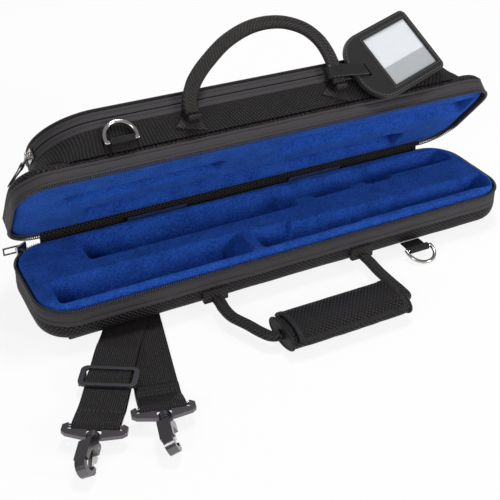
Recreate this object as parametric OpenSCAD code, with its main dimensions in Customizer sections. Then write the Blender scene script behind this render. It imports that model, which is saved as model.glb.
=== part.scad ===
// A soft zip case for a flute, standing open on its folded shoulder strap.
// Millimetres. +X runs along the case, -Y is its front, +Z is up.
// The origin is on the ground under the middle of the case.

/* [Case] */
// Length over the zip band
case_l = 430; // [350:1:520]
// Width, front to back
case_w = 102; // [85:1:125]
// Depth of the base tray
base_h = 28; // [24:0.5:36]
// Depth of the lid tray
lid_h = 21; // [20:0.5:32]
// Height of the outer pocket above the lid
pocket_h = 33; // [28:0.5:40]
// Radius of the case corners seen from above
corner_r = 29; // [26:1:34]
// Radius of the base tray's lower edge
edge_r = 8; // [5:0.5:10]
// Radius of the lid tray's upper edge
lid_edge_r = 6.5; // [4:0.5:10]
// Angle at which the lid stands open
lid_open = 51.3; // [0:0.1:110]

/* [Walls] */
// Thickness of the outer fabric and the zip tape
skin_t = 1; // [0.8:0.1:1.4]
// Thickness of the moulded shell
shell_t = 3; // [2:0.1:4]
// Width of one half of the zip band
zip_band = 14; // [12:0.5:15]
// Thickness of a zip coil
coil_d = 2.2; // [1.8:0.1:2.4]
// Gap between the two rims when the case is shut
rim_gap = 1.2; // [1.2:0.1:2]

/* [Insert] */
// How far the base cushion stands above the rim
insert_rise = 3; // [1:0.1:3.2]
// Distance from the case side to the cushion
insert_inset = 6; // [6:0.1:7]
// Length of the foot joint compartment
foot_l = 157; // [120:1:160]
// Wall between the front compartments
bridge = 13; // [8:1:20]
// Radius of the foot joint trough
foot_r = 13.5; // [10:0.1:14]
// Radius of the head joint trough
head_r = 10; // [8:0.1:11]
// Radius of the wide end of the body joint trough, for its keys
body_r = 16; // [12:0.1:16.5]
// Radius of the narrow end of the body joint trough
neck_r = 10; // [8:0.1:11]
// Distance from the case front to the foot joint trough
foot_in = 25; // [23:0.5:27]
// Distance from the case front to the head joint trough
head_in = 22; // [20:0.5:24]
// Distance from the case back to the body joint trough
body_in = 28; // [26:0.5:30]

/* [Pocket] */
// Distance from each end of the case to the pocket
pocket_inset = 28; // [22:0.5:36]
// Radius of the pocket corners
pocket_r = 46; // [40:1:48]
// Distance from each end of the case to the foot of the pocket
pocket_foot_inset = 18; // [16:0.5:22]
// Height of the pocket zip above the lid tray
pocket_zip_h = 24; // [18:0.5:25]

/* [Webbing and rings] */
// Width of the shoulder strap
strap_w = 32; // [25:0.5:38]
// Thickness of the shoulder strap
strap_t = 1.5; // [1.2:0.1:1.8]
// Width of the folded handle webbing
handle_w = 12; // [10:0.5:14]
// Thickness of the folded handle webbing
handle_t = 5; // [4:0.5:6]
// Wire diameter of the rings
ring_wire = 3.2; // [2.5:0.1:4]
// Width of a ring over its wire
ring_w = 28; // [24:0.5:32]
// Length of the padded grip
grip_l = 102; // [90:1:110]
// Half width and half height of the grip
grip_a = 19; // [16:0.5:21]
grip_b = 9; // [8:0.5:9.5]

/* [Tag] */
// Width of the name tag
tag_w = 83; // [70:1:90]
// Height of the name tag
tag_h = 63; // [56:1:70]
// Slope of the tag on the lid
tag_turn = 16; // [10:1:18]

/* [Hidden] */
$fn = 48;
eps = 0.1;
fit = 0.3; // running clearance between moving pieces
arc_steps = 6;

lift = 2 * strap_t; // the case lies on two layers of strap
z_rim = lift + base_h;
z_top = z_rim + lid_h;
z_zip = z_top + pocket_zip_h;
z_panel = z_top + pocket_h;
hinge_y = case_w / 2 + 3;
hinge_z = z_rim + 8;
front_y = -case_w / 2;
pocket_front = front_y - skin_t - 0.2; // the pocket stands a skin outside the lid
end_x = case_l / 2;
corner_x = end_x - corner_r; // where the corner arcs begin
corner_y = case_w / 2 - corner_r;
rim_free = 6; // height of the zip tape that stands above the shell
coil_u = -skin_t - eps - coil_d / 2;

// Colours of the outside, inside, metal and plastic
black = [0.09, 0.085, 0.085];
webbing = [0.12, 0.11, 0.11];
blue = [0.1, 0.24, 0.62];
navy = [0.05, 0.09, 0.32];
nickel = [0.72, 0.7, 0.68];
gunmetal = [0.16, 0.15, 0.17];

// ---------- shared shapes ----------

// Rounded rectangle centred on the origin
module rrect(l, w, r) {
  square([l, w - 2 * r], center = true);
  square([l - 2 * r, w], center = true);
  for (x = [-1, 1], y = [-1, 1])
    translate([x * (l / 2 - r), y * (w / 2 - r)])
      circle(r);
}

// Runs a profile round a rounded rectangle; its x is the distance outside the outline
module round_case(l, w, r, back = true) {
  cx = l / 2 - r;
  cy = w / 2 - r;
  for (q = [[1, 1, 0], [-1, 1, 90], [-1, -1, 180], [1, -1, 270]])
    translate([q[0] * cx, q[1] * cy, 0])
      rotate([0, 0, q[2]])
        rotate_extrude(angle = 90)
          translate([r, 0])
            children();
  for (s = [0, 180])
    rotate([0, 0, s])
      translate([l / 2, cy, 0])
        rotate([90, 0, 0])
          linear_extrude(2 * cy)
            children();
  for (s = back ? [0, 180] : [180])
    rotate([0, 0, s])
      straight_back(2 * cx, w / 2)
        children();
}

// Runs a profile along the straight back of an outline
module straight_back(len, y) {
  translate([-len / 2, y, 0])
    rotate([90, 0, 90])
      linear_extrude(len)
        children();
}

function arc(cx, cy, r, a0, a1, n = arc_steps) =
  [for (i = [0:n]) let (a = a0 + (a1 - a0) * i / n) [cx + r * cos(a), cy + r * sin(a)]];

// Section of a tray wall with a rounded bottom edge
function tray_wall(h, e, t) =
  concat([[0, h]], arc(-e, e, e, 0, -90), arc(-e, e, e - t, -90, 0), [[-t, h]]);

module tray(l, w, r, h, edge, t) {
  e = min(edge, h);
  round_case(l, w, r)
    polygon(tray_wall(h, e, t));
  linear_extrude(t)
    rrect(l - 2 * e, w - 2 * e, r - e);
}

// A line of points given a thickness, as one outline
function side(p, i) =
  let (a = p[max(i - 1, 0)], b = p[min(i + 1, len(p) - 1)], d = b - a) [-d[1], d[0]] / norm(d);
function thick_line(p, t) =
  concat([for (i = [0:len(p) - 1]) p[i] + side(p, i) * t / 2],
         [for (i = [len(p) - 1:-1:0]) p[i] - side(p, i) * t / 2]);

// Smooth curve through points, n steps between each pair
function smooth(p, n) = concat(
  [for (i = [0:len(p) - 2], k = [0:n - 1])
    let (a = p[max(i - 1, 0)], b = p[i], c = p[i + 1], d = p[min(i + 2, len(p) - 1)], t = k / n)
      0.5 * (2 * b + (c - a) * t + (2 * a - 5 * b + 4 * c - d) * t * t
             + (3 * b - a - 3 * c + d) * t * t * t)],
  [p[len(p) - 1]]);

// Rings of a webbing's half-round end: each has its place, its side and its share of the thickness
function end_rings(p, s, t, angles) =
  [for (a = angles) [p + [s[1], -s[0]] * t / 2 * sin(a), s, cos(a)]];

// Webbing swept along a flat curve, with half-round ends; w is its width in the plane of the curve
module swept_webbing(p, w, t) {
  last = len(p) - 1;
  c = t * 0.3;
  section = [[-w / 2, -t / 2 + c], [-w / 2 + c, -t / 2], [w / 2 - c, -t / 2], [w / 2, -t / 2 + c],
             [w / 2, t / 2 - c], [w / 2 - c, t / 2], [-w / 2 + c, t / 2], [-w / 2, t / 2 - c]];
  k = len(section);
  rings = concat(end_rings(p[0], side(p, 0), t, [-75, -50, -25]),
                 [for (i = [0:last]) [p[i], side(p, i), 1]],
                 end_rings(p[last], side(p, last), t, [25, 50, 75]));
  n = len(rings);
  points = [for (r = rings, s = section) let (q = r[0] + r[1] * s[0]) [q[0], q[1], s[1] * r[2]]];
  faces = concat(
    [for (i = [0:n - 2], j = [0:k - 1]) [i * k + j, i * k + (j + 1) % k, (i + 1) * k + j]],
    [for (i = [0:n - 2], j = [0:k - 1]) [(i + 1) * k + j, i * k + (j + 1) % k, (i + 1) * k + (j + 1) % k]],
    [[for (j = [k - 1:-1:0]) j]],
    [[for (j = [0:k - 1]) (n - 1) * k + j]]);
  polyhedron(points, faces);
}

// Points round a rounded rectangle, n + 1 to each corner
function outline(l, w, r, n) = concat(
  arc(l / 2 - r, w / 2 - r, r, 0, 90, n), arc(-l / 2 + r, w / 2 - r, r, 90, 180, n),
  arc(-l / 2 + r, -w / 2 + r, r, 180, 270, n), arc(l / 2 - r, -w / 2 + r, r, 270, 360, n));

// Closed skin over k sections of n points each that form a ring
function ring_faces(k, n) = [for (i = [0:k - 1], j = [0:n - 1], f = [0, 1])
  let (a = i * n + j, b = i * n + (j + 1) % n, c = (i + 1) % k * n + j, d = (i + 1) % k * n + (j + 1) % n)
    f == 0 ? [a, b, c] : [c, b, d]];

// Turns what is built on the closed case into the open lid's place
module on_lid() {
  translate([0, hinge_y, hinge_z])
    rotate([-lid_open, 0, 0])
      translate([0, -hinge_y, -hinge_z])
        children();
}

// A half-round trough with open top, from x0 to x1
module trough(x0, x1, y, r, z) {
  translate([x0, y, z])
    rotate([0, 90, 0])
      cylinder(r = r, h = x1 - x0);
  translate([x0, y - r, z])
    cube([x1 - x0, 2 * r, case_w]);
}

// A square-sided well with open top
module well(x0, x1, y0, y1, z) {
  translate([x0, y0, z])
    cube([x1 - x0, y1 - y0, case_w]);
}

// ---------- base ----------

insert_floor = lift + skin_t + shell_t + 2 * eps;
insert_top = z_rim + insert_rise;
trough_z = insert_top - 7; // the tubes lie a little below the cushion's face
foot_y = front_y + foot_in;
head_y = front_y + head_in;
body_y = case_w / 2 - body_in;
left_wall = 18;
right_wall = 11;
foot_x0 = -end_x + left_wall;
foot_x1 = foot_x0 + foot_l;
head_x0 = foot_x1 + bridge;
head_x1 = end_x - right_wall;
head_wide_l = 33; // rounded start of the head joint compartment
head_step_l = 90; // from there to the narrower stretch for the tube
body_x0 = -end_x + 57;
body_x1 = end_x - 16;
neck_x = body_x0 + 186; // where the body joint trough narrows
neck_y = body_y + 4;
deep_z = insert_floor + 4; // floor of the deep ends that free the tube ends
deep_l = 15;
finger_reach = 5; // how far the finger pockets reach in front of the narrow trough
edge_step = 1.5; // the cushion's lower edge is cut back over the shell's rounded floor edge
fingers = [[21, 36], [76, 24]]; // start after the neck and length of each finger pocket

module base_shell() {
  color(black)
    translate([0, 0, lift + skin_t + eps])
      tray(case_l - 2 * (skin_t + eps), case_w - 2 * (skin_t + eps), corner_r - skin_t - eps,
           base_h - skin_t - eps - rim_free, edge_r - skin_t, shell_t);
}

module base_cover() {
  color(black) {
    translate([0, 0, lift])
      tray(case_l, case_w, corner_r, base_h - zip_band, edge_r, skin_t);
    straight_back(2 * corner_x, case_w / 2)
      translate([-skin_t, z_rim - zip_band])
        square([skin_t, zip_band]);
  }
}

module base_zip_tape() {
  color(webbing)
    round_case(case_l, case_w, corner_r, false)
      translate([-skin_t, z_rim - zip_band])
        square([skin_t, zip_band]);
}

module base_zip_coil() {
  color(gunmetal)
    round_case(case_l, case_w, corner_r, false)
      translate([coil_u, z_rim - coil_d / 2])
        circle(coil_d / 2, $fn = 16);
}

module base_insert() {
  l = case_l - 2 * insert_inset;
  w = case_w - 2 * insert_inset;
  color(blue)
    difference() {
      union() {
        translate([0, 0, insert_floor])
          linear_extrude(edge_step + eps)
            rrect(l - 2 * edge_step, w - 2 * edge_step, corner_r - insert_inset - edge_step);
        translate([0, 0, insert_floor + edge_step])
          linear_extrude(insert_top - insert_floor - edge_step)
            rrect(l, w, corner_r - insert_inset);
      }
      trough(foot_x0, foot_x1, foot_y, foot_r, trough_z);
      well(foot_x0, foot_x0 + deep_l, foot_y - foot_r + 2, foot_y + foot_r - 2, deep_z);
      well(foot_x1 - 12, foot_x1, foot_y - foot_r, foot_y + foot_r, deep_z);
      trough(head_x0, head_x0 + head_wide_l, head_y + 2, head_r + 2, trough_z);
      trough(head_x0 + 10, head_x0 + head_step_l, head_y, head_r, trough_z);
      trough(head_x0 + head_step_l - 1, head_x1 - 1, head_y, head_r - 1.5, trough_z);
      well(head_x1 - deep_l, head_x1, head_y - head_r + 1, head_y + head_r - 1, deep_z);
      trough(body_x0, neck_x, body_y, body_r, trough_z);
      well(body_x0, body_x0 + deep_l, body_y - body_r + 3, body_y + body_r - 3, deep_z - 1);
      trough(neck_x - 1, body_x1, neck_y, neck_r, trough_z);
      well(body_x1 - deep_l, body_x1, neck_y - neck_r + 1, neck_y + neck_r - 1, deep_z);
      for (f = fingers)
        well(neck_x + f[0], neck_x + f[0] + f[1], neck_y - neck_r - finger_reach, neck_y, trough_z - 4);
    }
}

// The cloth strip that joins both trays along the back, as it lies with the lid open
module hinge_fabric() {
  open_wall = [for (z = [hinge_z + 1.5, hinge_z + 8])
    let (y = case_w / 2 + 0.6 - hinge_y, v = z - hinge_z)
      [hinge_y + y * cos(lid_open) + v * sin(lid_open), hinge_z - y * sin(lid_open) + v * cos(lid_open)]];
  back = case_w / 2 + 0.6;
  route = concat([[back, z_rim - 9], [back, z_rim], [back + 0.4, z_rim + 3.5]], open_wall);
  color(black)
    translate([-corner_x, 0, 0])
      rotate([90, 0, 90])
        linear_extrude(2 * corner_x)
          polygon(thick_line(route, 0.8));
}

// Facing cloth on the inside of the hinge
module hinge_tab(x, l) {
  back = case_w / 2 - skin_t - 0.7;
  route = [[back, z_rim - rim_free + 0.2], [back, z_rim + 0.5], [back - 1.2, z_rim + 4.6]];
  color(navy)
    translate([x, 0, 0])
      rotate([90, 0, 90])
        linear_extrude(l)
          polygon(thick_line(route, 0.6));
}

tab_left_x = -111;
tab_right_x = 44;
tab_l = 54;

module hinge_tab_left() hinge_tab(tab_left_x, tab_l);
module hinge_tab_right() hinge_tab(tab_right_x, tab_l);

// ---------- lid, built closed ----------

lid_rim = z_rim + rim_gap;
lid_band = zip_band - rim_gap;
lid_insert_z = z_rim + insert_rise + 1.5;
lid_floor = z_top - skin_t - shell_t - 2 * eps;
lid_cut = lid_floor - lid_insert_z - 2; // depth of the lid's recesses

module lid_shell() {
  color(black)
    on_lid()
      translate([0, 0, z_top - skin_t - eps])
        mirror([0, 0, 1])
          tray(case_l - 2 * (skin_t + eps), case_w - 2 * (skin_t + eps), corner_r - skin_t - eps,
               lid_h - rim_gap - skin_t - eps - rim_free, lid_edge_r - skin_t, shell_t);
}

module lid_cover() {
  color(black)
    on_lid() {
      translate([0, 0, z_top])
        mirror([0, 0, 1])
          tray(case_l, case_w, corner_r, lid_h - zip_band, lid_edge_r, skin_t);
      straight_back(2 * corner_x, case_w / 2)
        translate([-skin_t, lid_rim])
          square([skin_t, lid_band]);
    }
}

module lid_zip_tape() {
  color(webbing)
    on_lid()
      round_case(case_l, case_w, corner_r, false)
        translate([-skin_t, lid_rim])
          square([skin_t, lid_band]);
}

module lid_zip_coil() {
  color(gunmetal)
    on_lid()
      round_case(case_l, case_w, corner_r, false)
        translate([coil_u, lid_rim + coil_d / 2])
          circle(coil_d / 2, $fn = 16);
}

// Rounded recess in the lid cushion, from x0 to x1
module lid_recess(x0, x1, y, w) {
  r = (w * w / 4 + lid_cut * lid_cut) / (2 * lid_cut);
  trough(x0, x1, y, r, -lid_insert_z - lid_cut + r);
}

module lid_insert() {
  l = case_l - 2 * insert_inset;
  w = case_w - 2 * insert_inset;
  color(blue)
    on_lid()
      difference() {
        translate([0, 0, lid_insert_z])
          linear_extrude(lid_floor - lid_insert_z)
            rrect(l, w, corner_r - insert_inset);
        mirror([0, 0, 1]) {
          lid_recess(foot_x0 + 24, foot_x1 - 2, foot_y + 17.5, 15);
          lid_recess(head_x0 + 40, head_x1 - 1, head_y + 13, 28);
          lid_recess(body_x0 + 6, body_x1 - 49, body_y + 5, 24);
          well(body_x1 - 82, body_x1 - 61, body_y - 8, body_y + 2, -lid_insert_z - 5);
        }
      }
}

// ---------- pocket on the lid ----------

pocket_l = case_l - 2 * pocket_inset;
pocket_w = case_w + 2 * (skin_t + 0.2);
pocket_cx = pocket_l / 2 - pocket_r;
pocket_foot = z_top - 4.5; // where the gusset is sewn to the front
pocket_foot_r = 34;
gusset_steps = 3;
gusset_arc = 8;
pocket_coil = 1.6;
zip_gap = 1.2;
pocket_tape = 6;
panel_t = 1.6;

// Height of the lid's rounded top at a point of the plan
function lid_height(p) =
  let (q = [abs(p[0]) - corner_x, abs(p[1]) - corner_y],
       out = norm([max(q[0], 0), max(q[1], 0)]) + min(max(q[0], q[1]), 0) - corner_r,
       e = min(lid_edge_r, lid_h - zip_band), d = min(max(-out, 0), e))
    max(pocket_foot, z_top - e + sqrt(e * e - (e - d) * (e - d)));

// One level of the gusset, from its foot at 0 to the zip tape at 1
function gusset_level(t, in) =
  let (side_in = pocket_foot_inset + (pocket_inset - pocket_foot_inset) * t,
       r = pocket_foot_r + (pocket_r - pocket_foot_r) * t,
       top = z_zip - zip_gap / 2 - pocket_tape)
    [for (p = outline(case_l - 2 * side_in - 2 * in, pocket_w - 2 * in, r - in, gusset_arc))
      let (foot = lid_height(p) + 6 * eps) [p[0], p[1], foot + (top - foot) * t]];

// The sewn side wall of the pocket: its ends lean in from the foot to the zip
module pocket_gusset() {
  levels = concat([for (i = [0:gusset_steps]) gusset_level(i / gusset_steps, 0)],
                  [for (i = [gusset_steps:-1:0]) gusset_level(i / gusset_steps, skin_t)]);
  color(black)
    on_lid()
      polyhedron([for (l = levels, p = l) p], ring_faces(len(levels), len(levels[0])));
}

// One half of the pocket zip: a tape with its coil on the inside of the edge
module pocket_zip(tape_z, coil_z) {
  color(webbing)
    on_lid() {
      round_case(pocket_l, pocket_w, pocket_r)
        translate([-skin_t, tape_z])
          square([skin_t, pocket_tape]);
      round_case(pocket_l, pocket_w, pocket_r, false)
        translate([-skin_t - pocket_coil / 2 + eps, coil_z])
          circle(pocket_coil / 2, $fn = 16);
    }
}

module pocket_zip_lower()
  pocket_zip(z_zip - zip_gap / 2 - pocket_tape, z_zip - zip_gap / 2 - pocket_coil / 2);

module pocket_zip_upper()
  pocket_zip(z_zip + zip_gap / 2, z_zip + zip_gap / 2 + pocket_coil / 2);

module pocket_rim() {
  z = z_zip + zip_gap / 2 + pocket_tape;
  color(black)
    on_lid() {
      round_case(pocket_l, pocket_w, pocket_r)
        translate([-skin_t, z])
          square([skin_t, z_panel - panel_t - z]);
      round_case(pocket_l, pocket_w, pocket_r)
        translate([0, z_panel - panel_t / 2])
          circle(1.2, $fn = 16);
    }
}

module pocket_panel() {
  inset = 1.2 + eps;
  color(black)
    on_lid()
      translate([0, 0, z_panel - panel_t])
        linear_extrude(panel_t)
          rrect(pocket_l - 2 * inset, pocket_w - 2 * inset, pocket_r - inset);
}

pocket_slider_angle = 188; // place of the slider on the left corner of the pocket

slider_l = 11;
slider_h = 9;
plate_t = 1.6;
post_t = zip_gap - 2 * fit;

// A zip slider: outer plate, inner plate and the post between the two coils.
// x points out of the case, y along the zip and z across it; across turns the crown's hole along y.
module slider(inner_u, across) {
  translate([fit, -slider_l / 2, -slider_h / 2])
    cube([plate_t, slider_l, slider_h]);
  translate([inner_u, -1.5, -post_t / 2])
    cube([fit + plate_t - inner_u, 3, post_t]);
  translate([inner_u - 1.2, -slider_l / 2 + 1, -slider_h / 2 + 1])
    cube([1.2, slider_l - 2, slider_h / 2 - 1 + post_t / 2]);
  translate([fit + plate_t, 0, 0])
    rotate([across ? 90 : 0, 0, 0])
      crown();
}

// The eye that holds the pull
module crown() {
  difference() {
    translate([0, -crown_l / 2, -crown_w / 2])
      cube([crown_h, crown_l, crown_w]);
    translate([-eps, -crown_l / 2 + crown_wall, -crown_w / 2 - eps])
      cube([crown_h - crown_wall + eps, crown_l - 2 * crown_wall, crown_w + 2 * eps]);
  }
}

crown_h = 3.4;
crown_l = 6;
crown_w = 2.4;
crown_wall = 1.2;

module on_pocket_slider() {
  on_lid()
    translate([-pocket_cx, -pocket_w / 2 + pocket_r, z_zip])
      rotate([0, 0, pocket_slider_angle])
        translate([pocket_r, 0, 0])
          children();
}

module pocket_slider() {
  color(nickel)
    on_pocket_slider()
      slider(-skin_t - pocket_coil - fit - 2 * eps, true);
}

// The pull hangs from the crown and leans out over the end of the lid
pull_lean = 45;
pull_wire = 1.5;

module on_pull() {
  on_pocket_slider()
    translate([fit + plate_t + 1.1, 0, 0])
      rotate([0, -pull_lean, 0])
        children();
}

module pocket_pull_ring() {
  w = 8;
  h = 10;
  color(nickel)
    on_pull() {
      for (y = [-1, 1])
        translate([0, y * w / 2, -h])
          cylinder(d = pull_wire, h = h, $fn = 16);
      for (z = [0, -h])
        translate([0, -w / 2, z])
          rotate([-90, 0, 0])
            cylinder(d = pull_wire, h = w, $fn = 16);
      for (z = [0, -h], y = [-1, 1])
        translate([0, y * w / 2, z])
          sphere(d = pull_wire, $fn = 16);
    }
}

module pocket_pull_tab() {
  color(webbing)
    on_pull()
      difference() {
        rotate([90, 0, 0])
          linear_extrude(6.2, center = true) {
            translate([0, -20])
              square([1.8, 20], center = true);
            translate([0, -10])
              circle(pull_wire / 2 + 1);
          }
        translate([0, -5, -10])
          rotate([-90, 0, 0])
            cylinder(r = pull_wire / 2 + eps, h = 10);
      }
}

main_slider_angle = 124;

module on_main_slider() {
  translate([-corner_x, corner_y, z_rim + rim_gap / 2])
    rotate([0, 0, main_slider_angle])
      translate([corner_r, 0, 0])
        children();
}

module main_slider() {
  color(nickel)
    on_main_slider()
      slider(-skin_t - coil_d - 2 * fit - 0.6, false);
}

// A wire loop whose root turns in the slider's crown
module main_pull() {
  h = 2.8;
  l = 13;
  turn = 180 - main_slider_angle;
  color(gunmetal)
    on_main_slider()
      translate([fit + plate_t + 1.1, 0, 0])
        rotate([0, 0, turn]) {
          for (z = [-1, 1])
            translate([0, 0, z * h])
              rotate([0, 90, 0])
                cylinder(d = 1.4, h = l, $fn = 16);
          for (x = [0, l])
            translate([x, 0, -h])
              cylinder(d = 1.4, h = 2 * h, $fn = 16);
          for (x = [0, l], z = [-1, 1])
            translate([x, 0, z * h])
              sphere(d = 1.4, $fn = 16);
        }
}

// ---------- rings ----------

ring_r = ring_w / 2 - ring_wire / 2;
ring_leg = 3;
tab_w = ring_w - 2 * ring_wire - 2;

// A ring with one straight side on the x axis and its bow towards +y
module d_ring() {
  r = ring_wire / 2;
  translate([-ring_r, 0, 0])
    rotate([0, 90, 0])
      cylinder(r = r, h = 2 * ring_r, $fn = 24);
  for (x = [-1, 1]) {
    translate([x * ring_r, 0, 0])
      rotate([-90, 0, 0])
        cylinder(r = r, h = ring_leg, $fn = 24);
    translate([x * ring_r, 0, 0])
      sphere(r, $fn = 24);
  }
  translate([0, ring_leg, 0])
    rotate_extrude(angle = 180)
      translate([ring_r, 0])
        circle(r, $fn = 24);
}

// Webbing loop round the straight side of a ring; its tail runs towards -y at height low
module ring_tab(tail, low, thick) {
  r = ring_wire / 2 + fit;
  translate([-tab_w / 2, 0, 0])
    rotate([90, 0, 90])
      linear_extrude(tab_w)
        difference() {
          union() {
            circle(r + tab_t);
            translate([-tail, low])
              square([tail, thick]);
          }
          circle(r);
        }
}

tab_t = 1.2;
tab_r = ring_wire / 2 + fit + tab_t;
lid_ring_x = -129;
lid_ring_z = z_rim + 24;
lid_ring_y = pocket_front - tab_r - eps;

module on_lid_front(x, y, z) {
  on_lid()
    translate([x, y, z])
      rotate([90, 0, 0])
        children();
}

module lid_ring() {
  color(nickel)
    on_lid_front(lid_ring_x, lid_ring_y, lid_ring_z)
      d_ring();
}

module lid_ring_tab() {
  color(webbing)
    on_lid_front(lid_ring_x, lid_ring_y, lid_ring_z)
      ring_tab(7, -tab_r, tab_t);
}

base_ring_x = 109;
base_ring_y = front_y - 13;
base_ring_z = 6.5;
base_ring_slope = 18; // the ring lies down to the ground

module base_ring() {
  color(nickel)
    translate([base_ring_x, base_ring_y, base_ring_z])
      rotate([-base_ring_slope, 0, 180])
        d_ring();
}

module base_ring_tab() {
  color(webbing)
    translate([base_ring_x, base_ring_y, base_ring_z])
      rotate([0, 0, 180])
        ring_tab(front_y - base_ring_y + 0.7, -1, 2);
}

// ---------- handles ----------

anchor_t = 1.6;
leather_t = 1;
handle_y = pocket_front - anchor_t - 2 * fit - leather_t - handle_t / 2 - 2 * eps;
handle_z = z_rim + 34;
lid_handle_route = [[-70, 0], [-69.8, 3], [-68.6, 9], [-64, 17], [-57, 26], [-43, 38], [-20, 53], [6, 62], [30, 62],
                    [48, 54], [58, 42], [62, 28], [62.3, 13], [61.2, 5], [61, 0]];
handle_free = handle_t / 2 + 2 * fit; // room round the line that a handle turns on

module lid_handle() {
  color(webbing)
    on_lid_front(0, handle_y, handle_z)
      swept_webbing(smooth(lid_handle_route, 3), handle_w, handle_t);
}

// Folded webbing that holds one end of the lid handle: a flat root and a fold that meets the leg
module lid_anchor(x, root) {
  color(webbing) {
    on_lid_front(0, pocket_front, z_rim)
      translate([0, 0, eps])
        linear_extrude(anchor_t)
          polygon([[root - 13, 22.5], [root + 13, 22.5], [x + 5.5, handle_z - z_rim - fit],
                   [x - 5.5, handle_z - z_rim - fit]]);
    on_lid_front(x, pocket_front, handle_z)
      translate([-5.5, -5 - handle_free, eps])
        cube([11, 5, pocket_front - handle_y + 1]);
  }
}

module lid_anchor_left() lid_anchor(lid_handle_route[0][0], lid_handle_route[0][0] - 3);
module lid_anchor_right() lid_anchor(61, 56);

base_handle_z = 9.3;
anchor_out = 4; // how far the base anchors stand out
base_handle_y = front_y - anchor_out - handle_free;
grip_x0 = -54;
grip_y = front_y - 67;
grip_x1 = grip_x0 + grip_l;
leg_left = [[-79, 0], [-79.2, -5], [-80, -13], [-79, -25], [-73, -39], [-68, -52], [-62, -60]];
leg_right = [[grip_x1 + 6.5, -62], [grip_x1 + 8.3, -55], [grip_x1 + 8, -42], [grip_x1 + 8, -24],
             [grip_x1 + 9, -12], [grip_x1 + 9.4, -5], [grip_x1 + 9.5, 0]];
base_handle_route = concat(leg_left, [[grip_x0 + 6, grip_y - base_handle_y], [0, grip_y - base_handle_y],
                    [grip_x1 - 5, grip_y - base_handle_y]], leg_right);

module base_handle() {
  color(webbing)
    translate([0, base_handle_y, base_handle_z])
      swept_webbing(smooth(base_handle_route, 3), handle_w - 2, handle_t);
}

module base_anchor(x) {
  color(webbing)
    translate([x, front_y - anchor_out, base_handle_z - 3.6])
      rotate([90, 0, 90])
        linear_extrude(21, center = true)
          polygon([[0, 0.4], [0.4, 0], [3.9, 0], [3.9, 10.4], [2.4, 10.4], [0, 6.9]]);
}

module base_anchor_left() base_anchor(leg_left[0][0]);
module base_anchor_right() base_anchor(grip_x1 + 9.5);

function ellipse(a, b, a0, a1, n) =
  [for (i = [0:n]) let (t = a0 + (a1 - a0) * i / n) [a * cos(t), b * sin(t)]];

// Places a section drawn in the y-z plane of the grip, from x over l
module along_grip(x, l) {
  translate([x, grip_y, grip_b + 0.2])
    rotate([90, 0, 90])
      linear_extrude(l)
        children();
}

module grip_hole() {
  square([handle_w + 3, handle_t + 2], center = true);
}

module grip_pad() {
  color(black)
    along_grip(grip_x0, grip_l)
      difference() {
        polygon(ellipse(grip_a, grip_b, 0, 345, 23));
        grip_hole();
      }
}

// Bound edge at one end of the grip
module grip_binding(x) {
  color(webbing)
    along_grip(x, 2.4)
      difference() {
        polygon(ellipse(grip_a, grip_b, 0, 345, 23));
        grip_hole();
      }
}

module grip_binding_left() grip_binding(grip_x0 - 2.4 - 0.05);
module grip_binding_right() grip_binding(grip_x1 + 0.05);

flap_t = 1.5;
flap_gap = 0.4;
flap_front = 163;
flap_edge = 150;

function flap_section(from, to, n) =
  concat(ellipse(grip_a + flap_gap + flap_t, grip_b + flap_gap + flap_t, from, to, n),
         ellipse(grip_a + flap_gap, grip_b + flap_gap, to, from, n));

module grip_flap() {
  color(black)
    along_grip(grip_x0 + 5, grip_l - 8)
      polygon(flap_section(8, flap_edge, 16));
}

module grip_flap_binding() {
  color(webbing)
    along_grip(grip_x0 + 5, grip_l - 8)
      polygon(flap_section(flap_edge + 0.2, flap_front, 3));
}

// ---------- tag ----------

tag_x = 116.9;
tag_z = 46;
tag_y = handle_y;
tag_t = 3.4;
tag_leg = [61.5, 42]; // where the loop goes round the handle's leg, above the rim
window_w = 50;
window_h = 47;
window_x = 11.8;

module on_tag() {
  on_lid_front(tag_x, tag_y, z_rim + tag_z)
    rotate([0, 0, tag_turn])
      children();
}

// Outline with a full left side and small right corners
module tag_outline(inset) {
  big = 24 - inset;
  small = 6 - inset;
  w = tag_w / 2 - inset;
  h = tag_h / 2 - inset;
  translate([-w + big, -h])
    square([2 * w - big - small, 2 * h]);
  translate([-w, -h + big])
    square([2 * w - small, 2 * h - 2 * big]);
  translate([0, -h + small])
    square([w, 2 * h - 2 * small]);
  for (y = [-1, 1]) {
    translate([-w + big, y * (h - big)])
      circle(big);
    translate([w - small, y * (h - small)])
      circle(small);
  }
}

slot_x = -tag_w / 2 + 13.2;
strap_half = 5.5; // half the height of the leather loop

module tag_slot() {
  translate([slot_x, 0])
    square([2.8, 2 * strap_half + 2], center = true);
}

module tag_back() {
  color(black)
    on_tag()
      translate([0, 0, -tag_t / 2])
        linear_extrude(1.2)
          difference() {
            tag_outline(0);
            tag_slot();
          }
}

module tag_frame() {
  color(black)
    on_tag()
      translate([0, 0, -tag_t / 2 + 1.2])
        linear_extrude(tag_t - 1.2)
          difference() {
            tag_outline(0.3);
            tag_slot();
            translate([window_x, 0])
              square([window_w, window_h], center = true);
          }
}

module tag_card() {
  color("white")
    on_tag()
      translate([window_x, 0, -tag_t / 2 + 1.2])
        linear_extrude(0.4)
          square([window_w - 0.4, window_h - 0.4], center = true);
}

module tag_window() {
  color([0.8, 0.85, 0.9, 0.35])
    on_tag()
      translate([window_x, 0, -tag_t / 2 + 1.7])
        linear_extrude(0.5)
          square([window_w - 0.4, window_h - 0.4], center = true);
}

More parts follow.
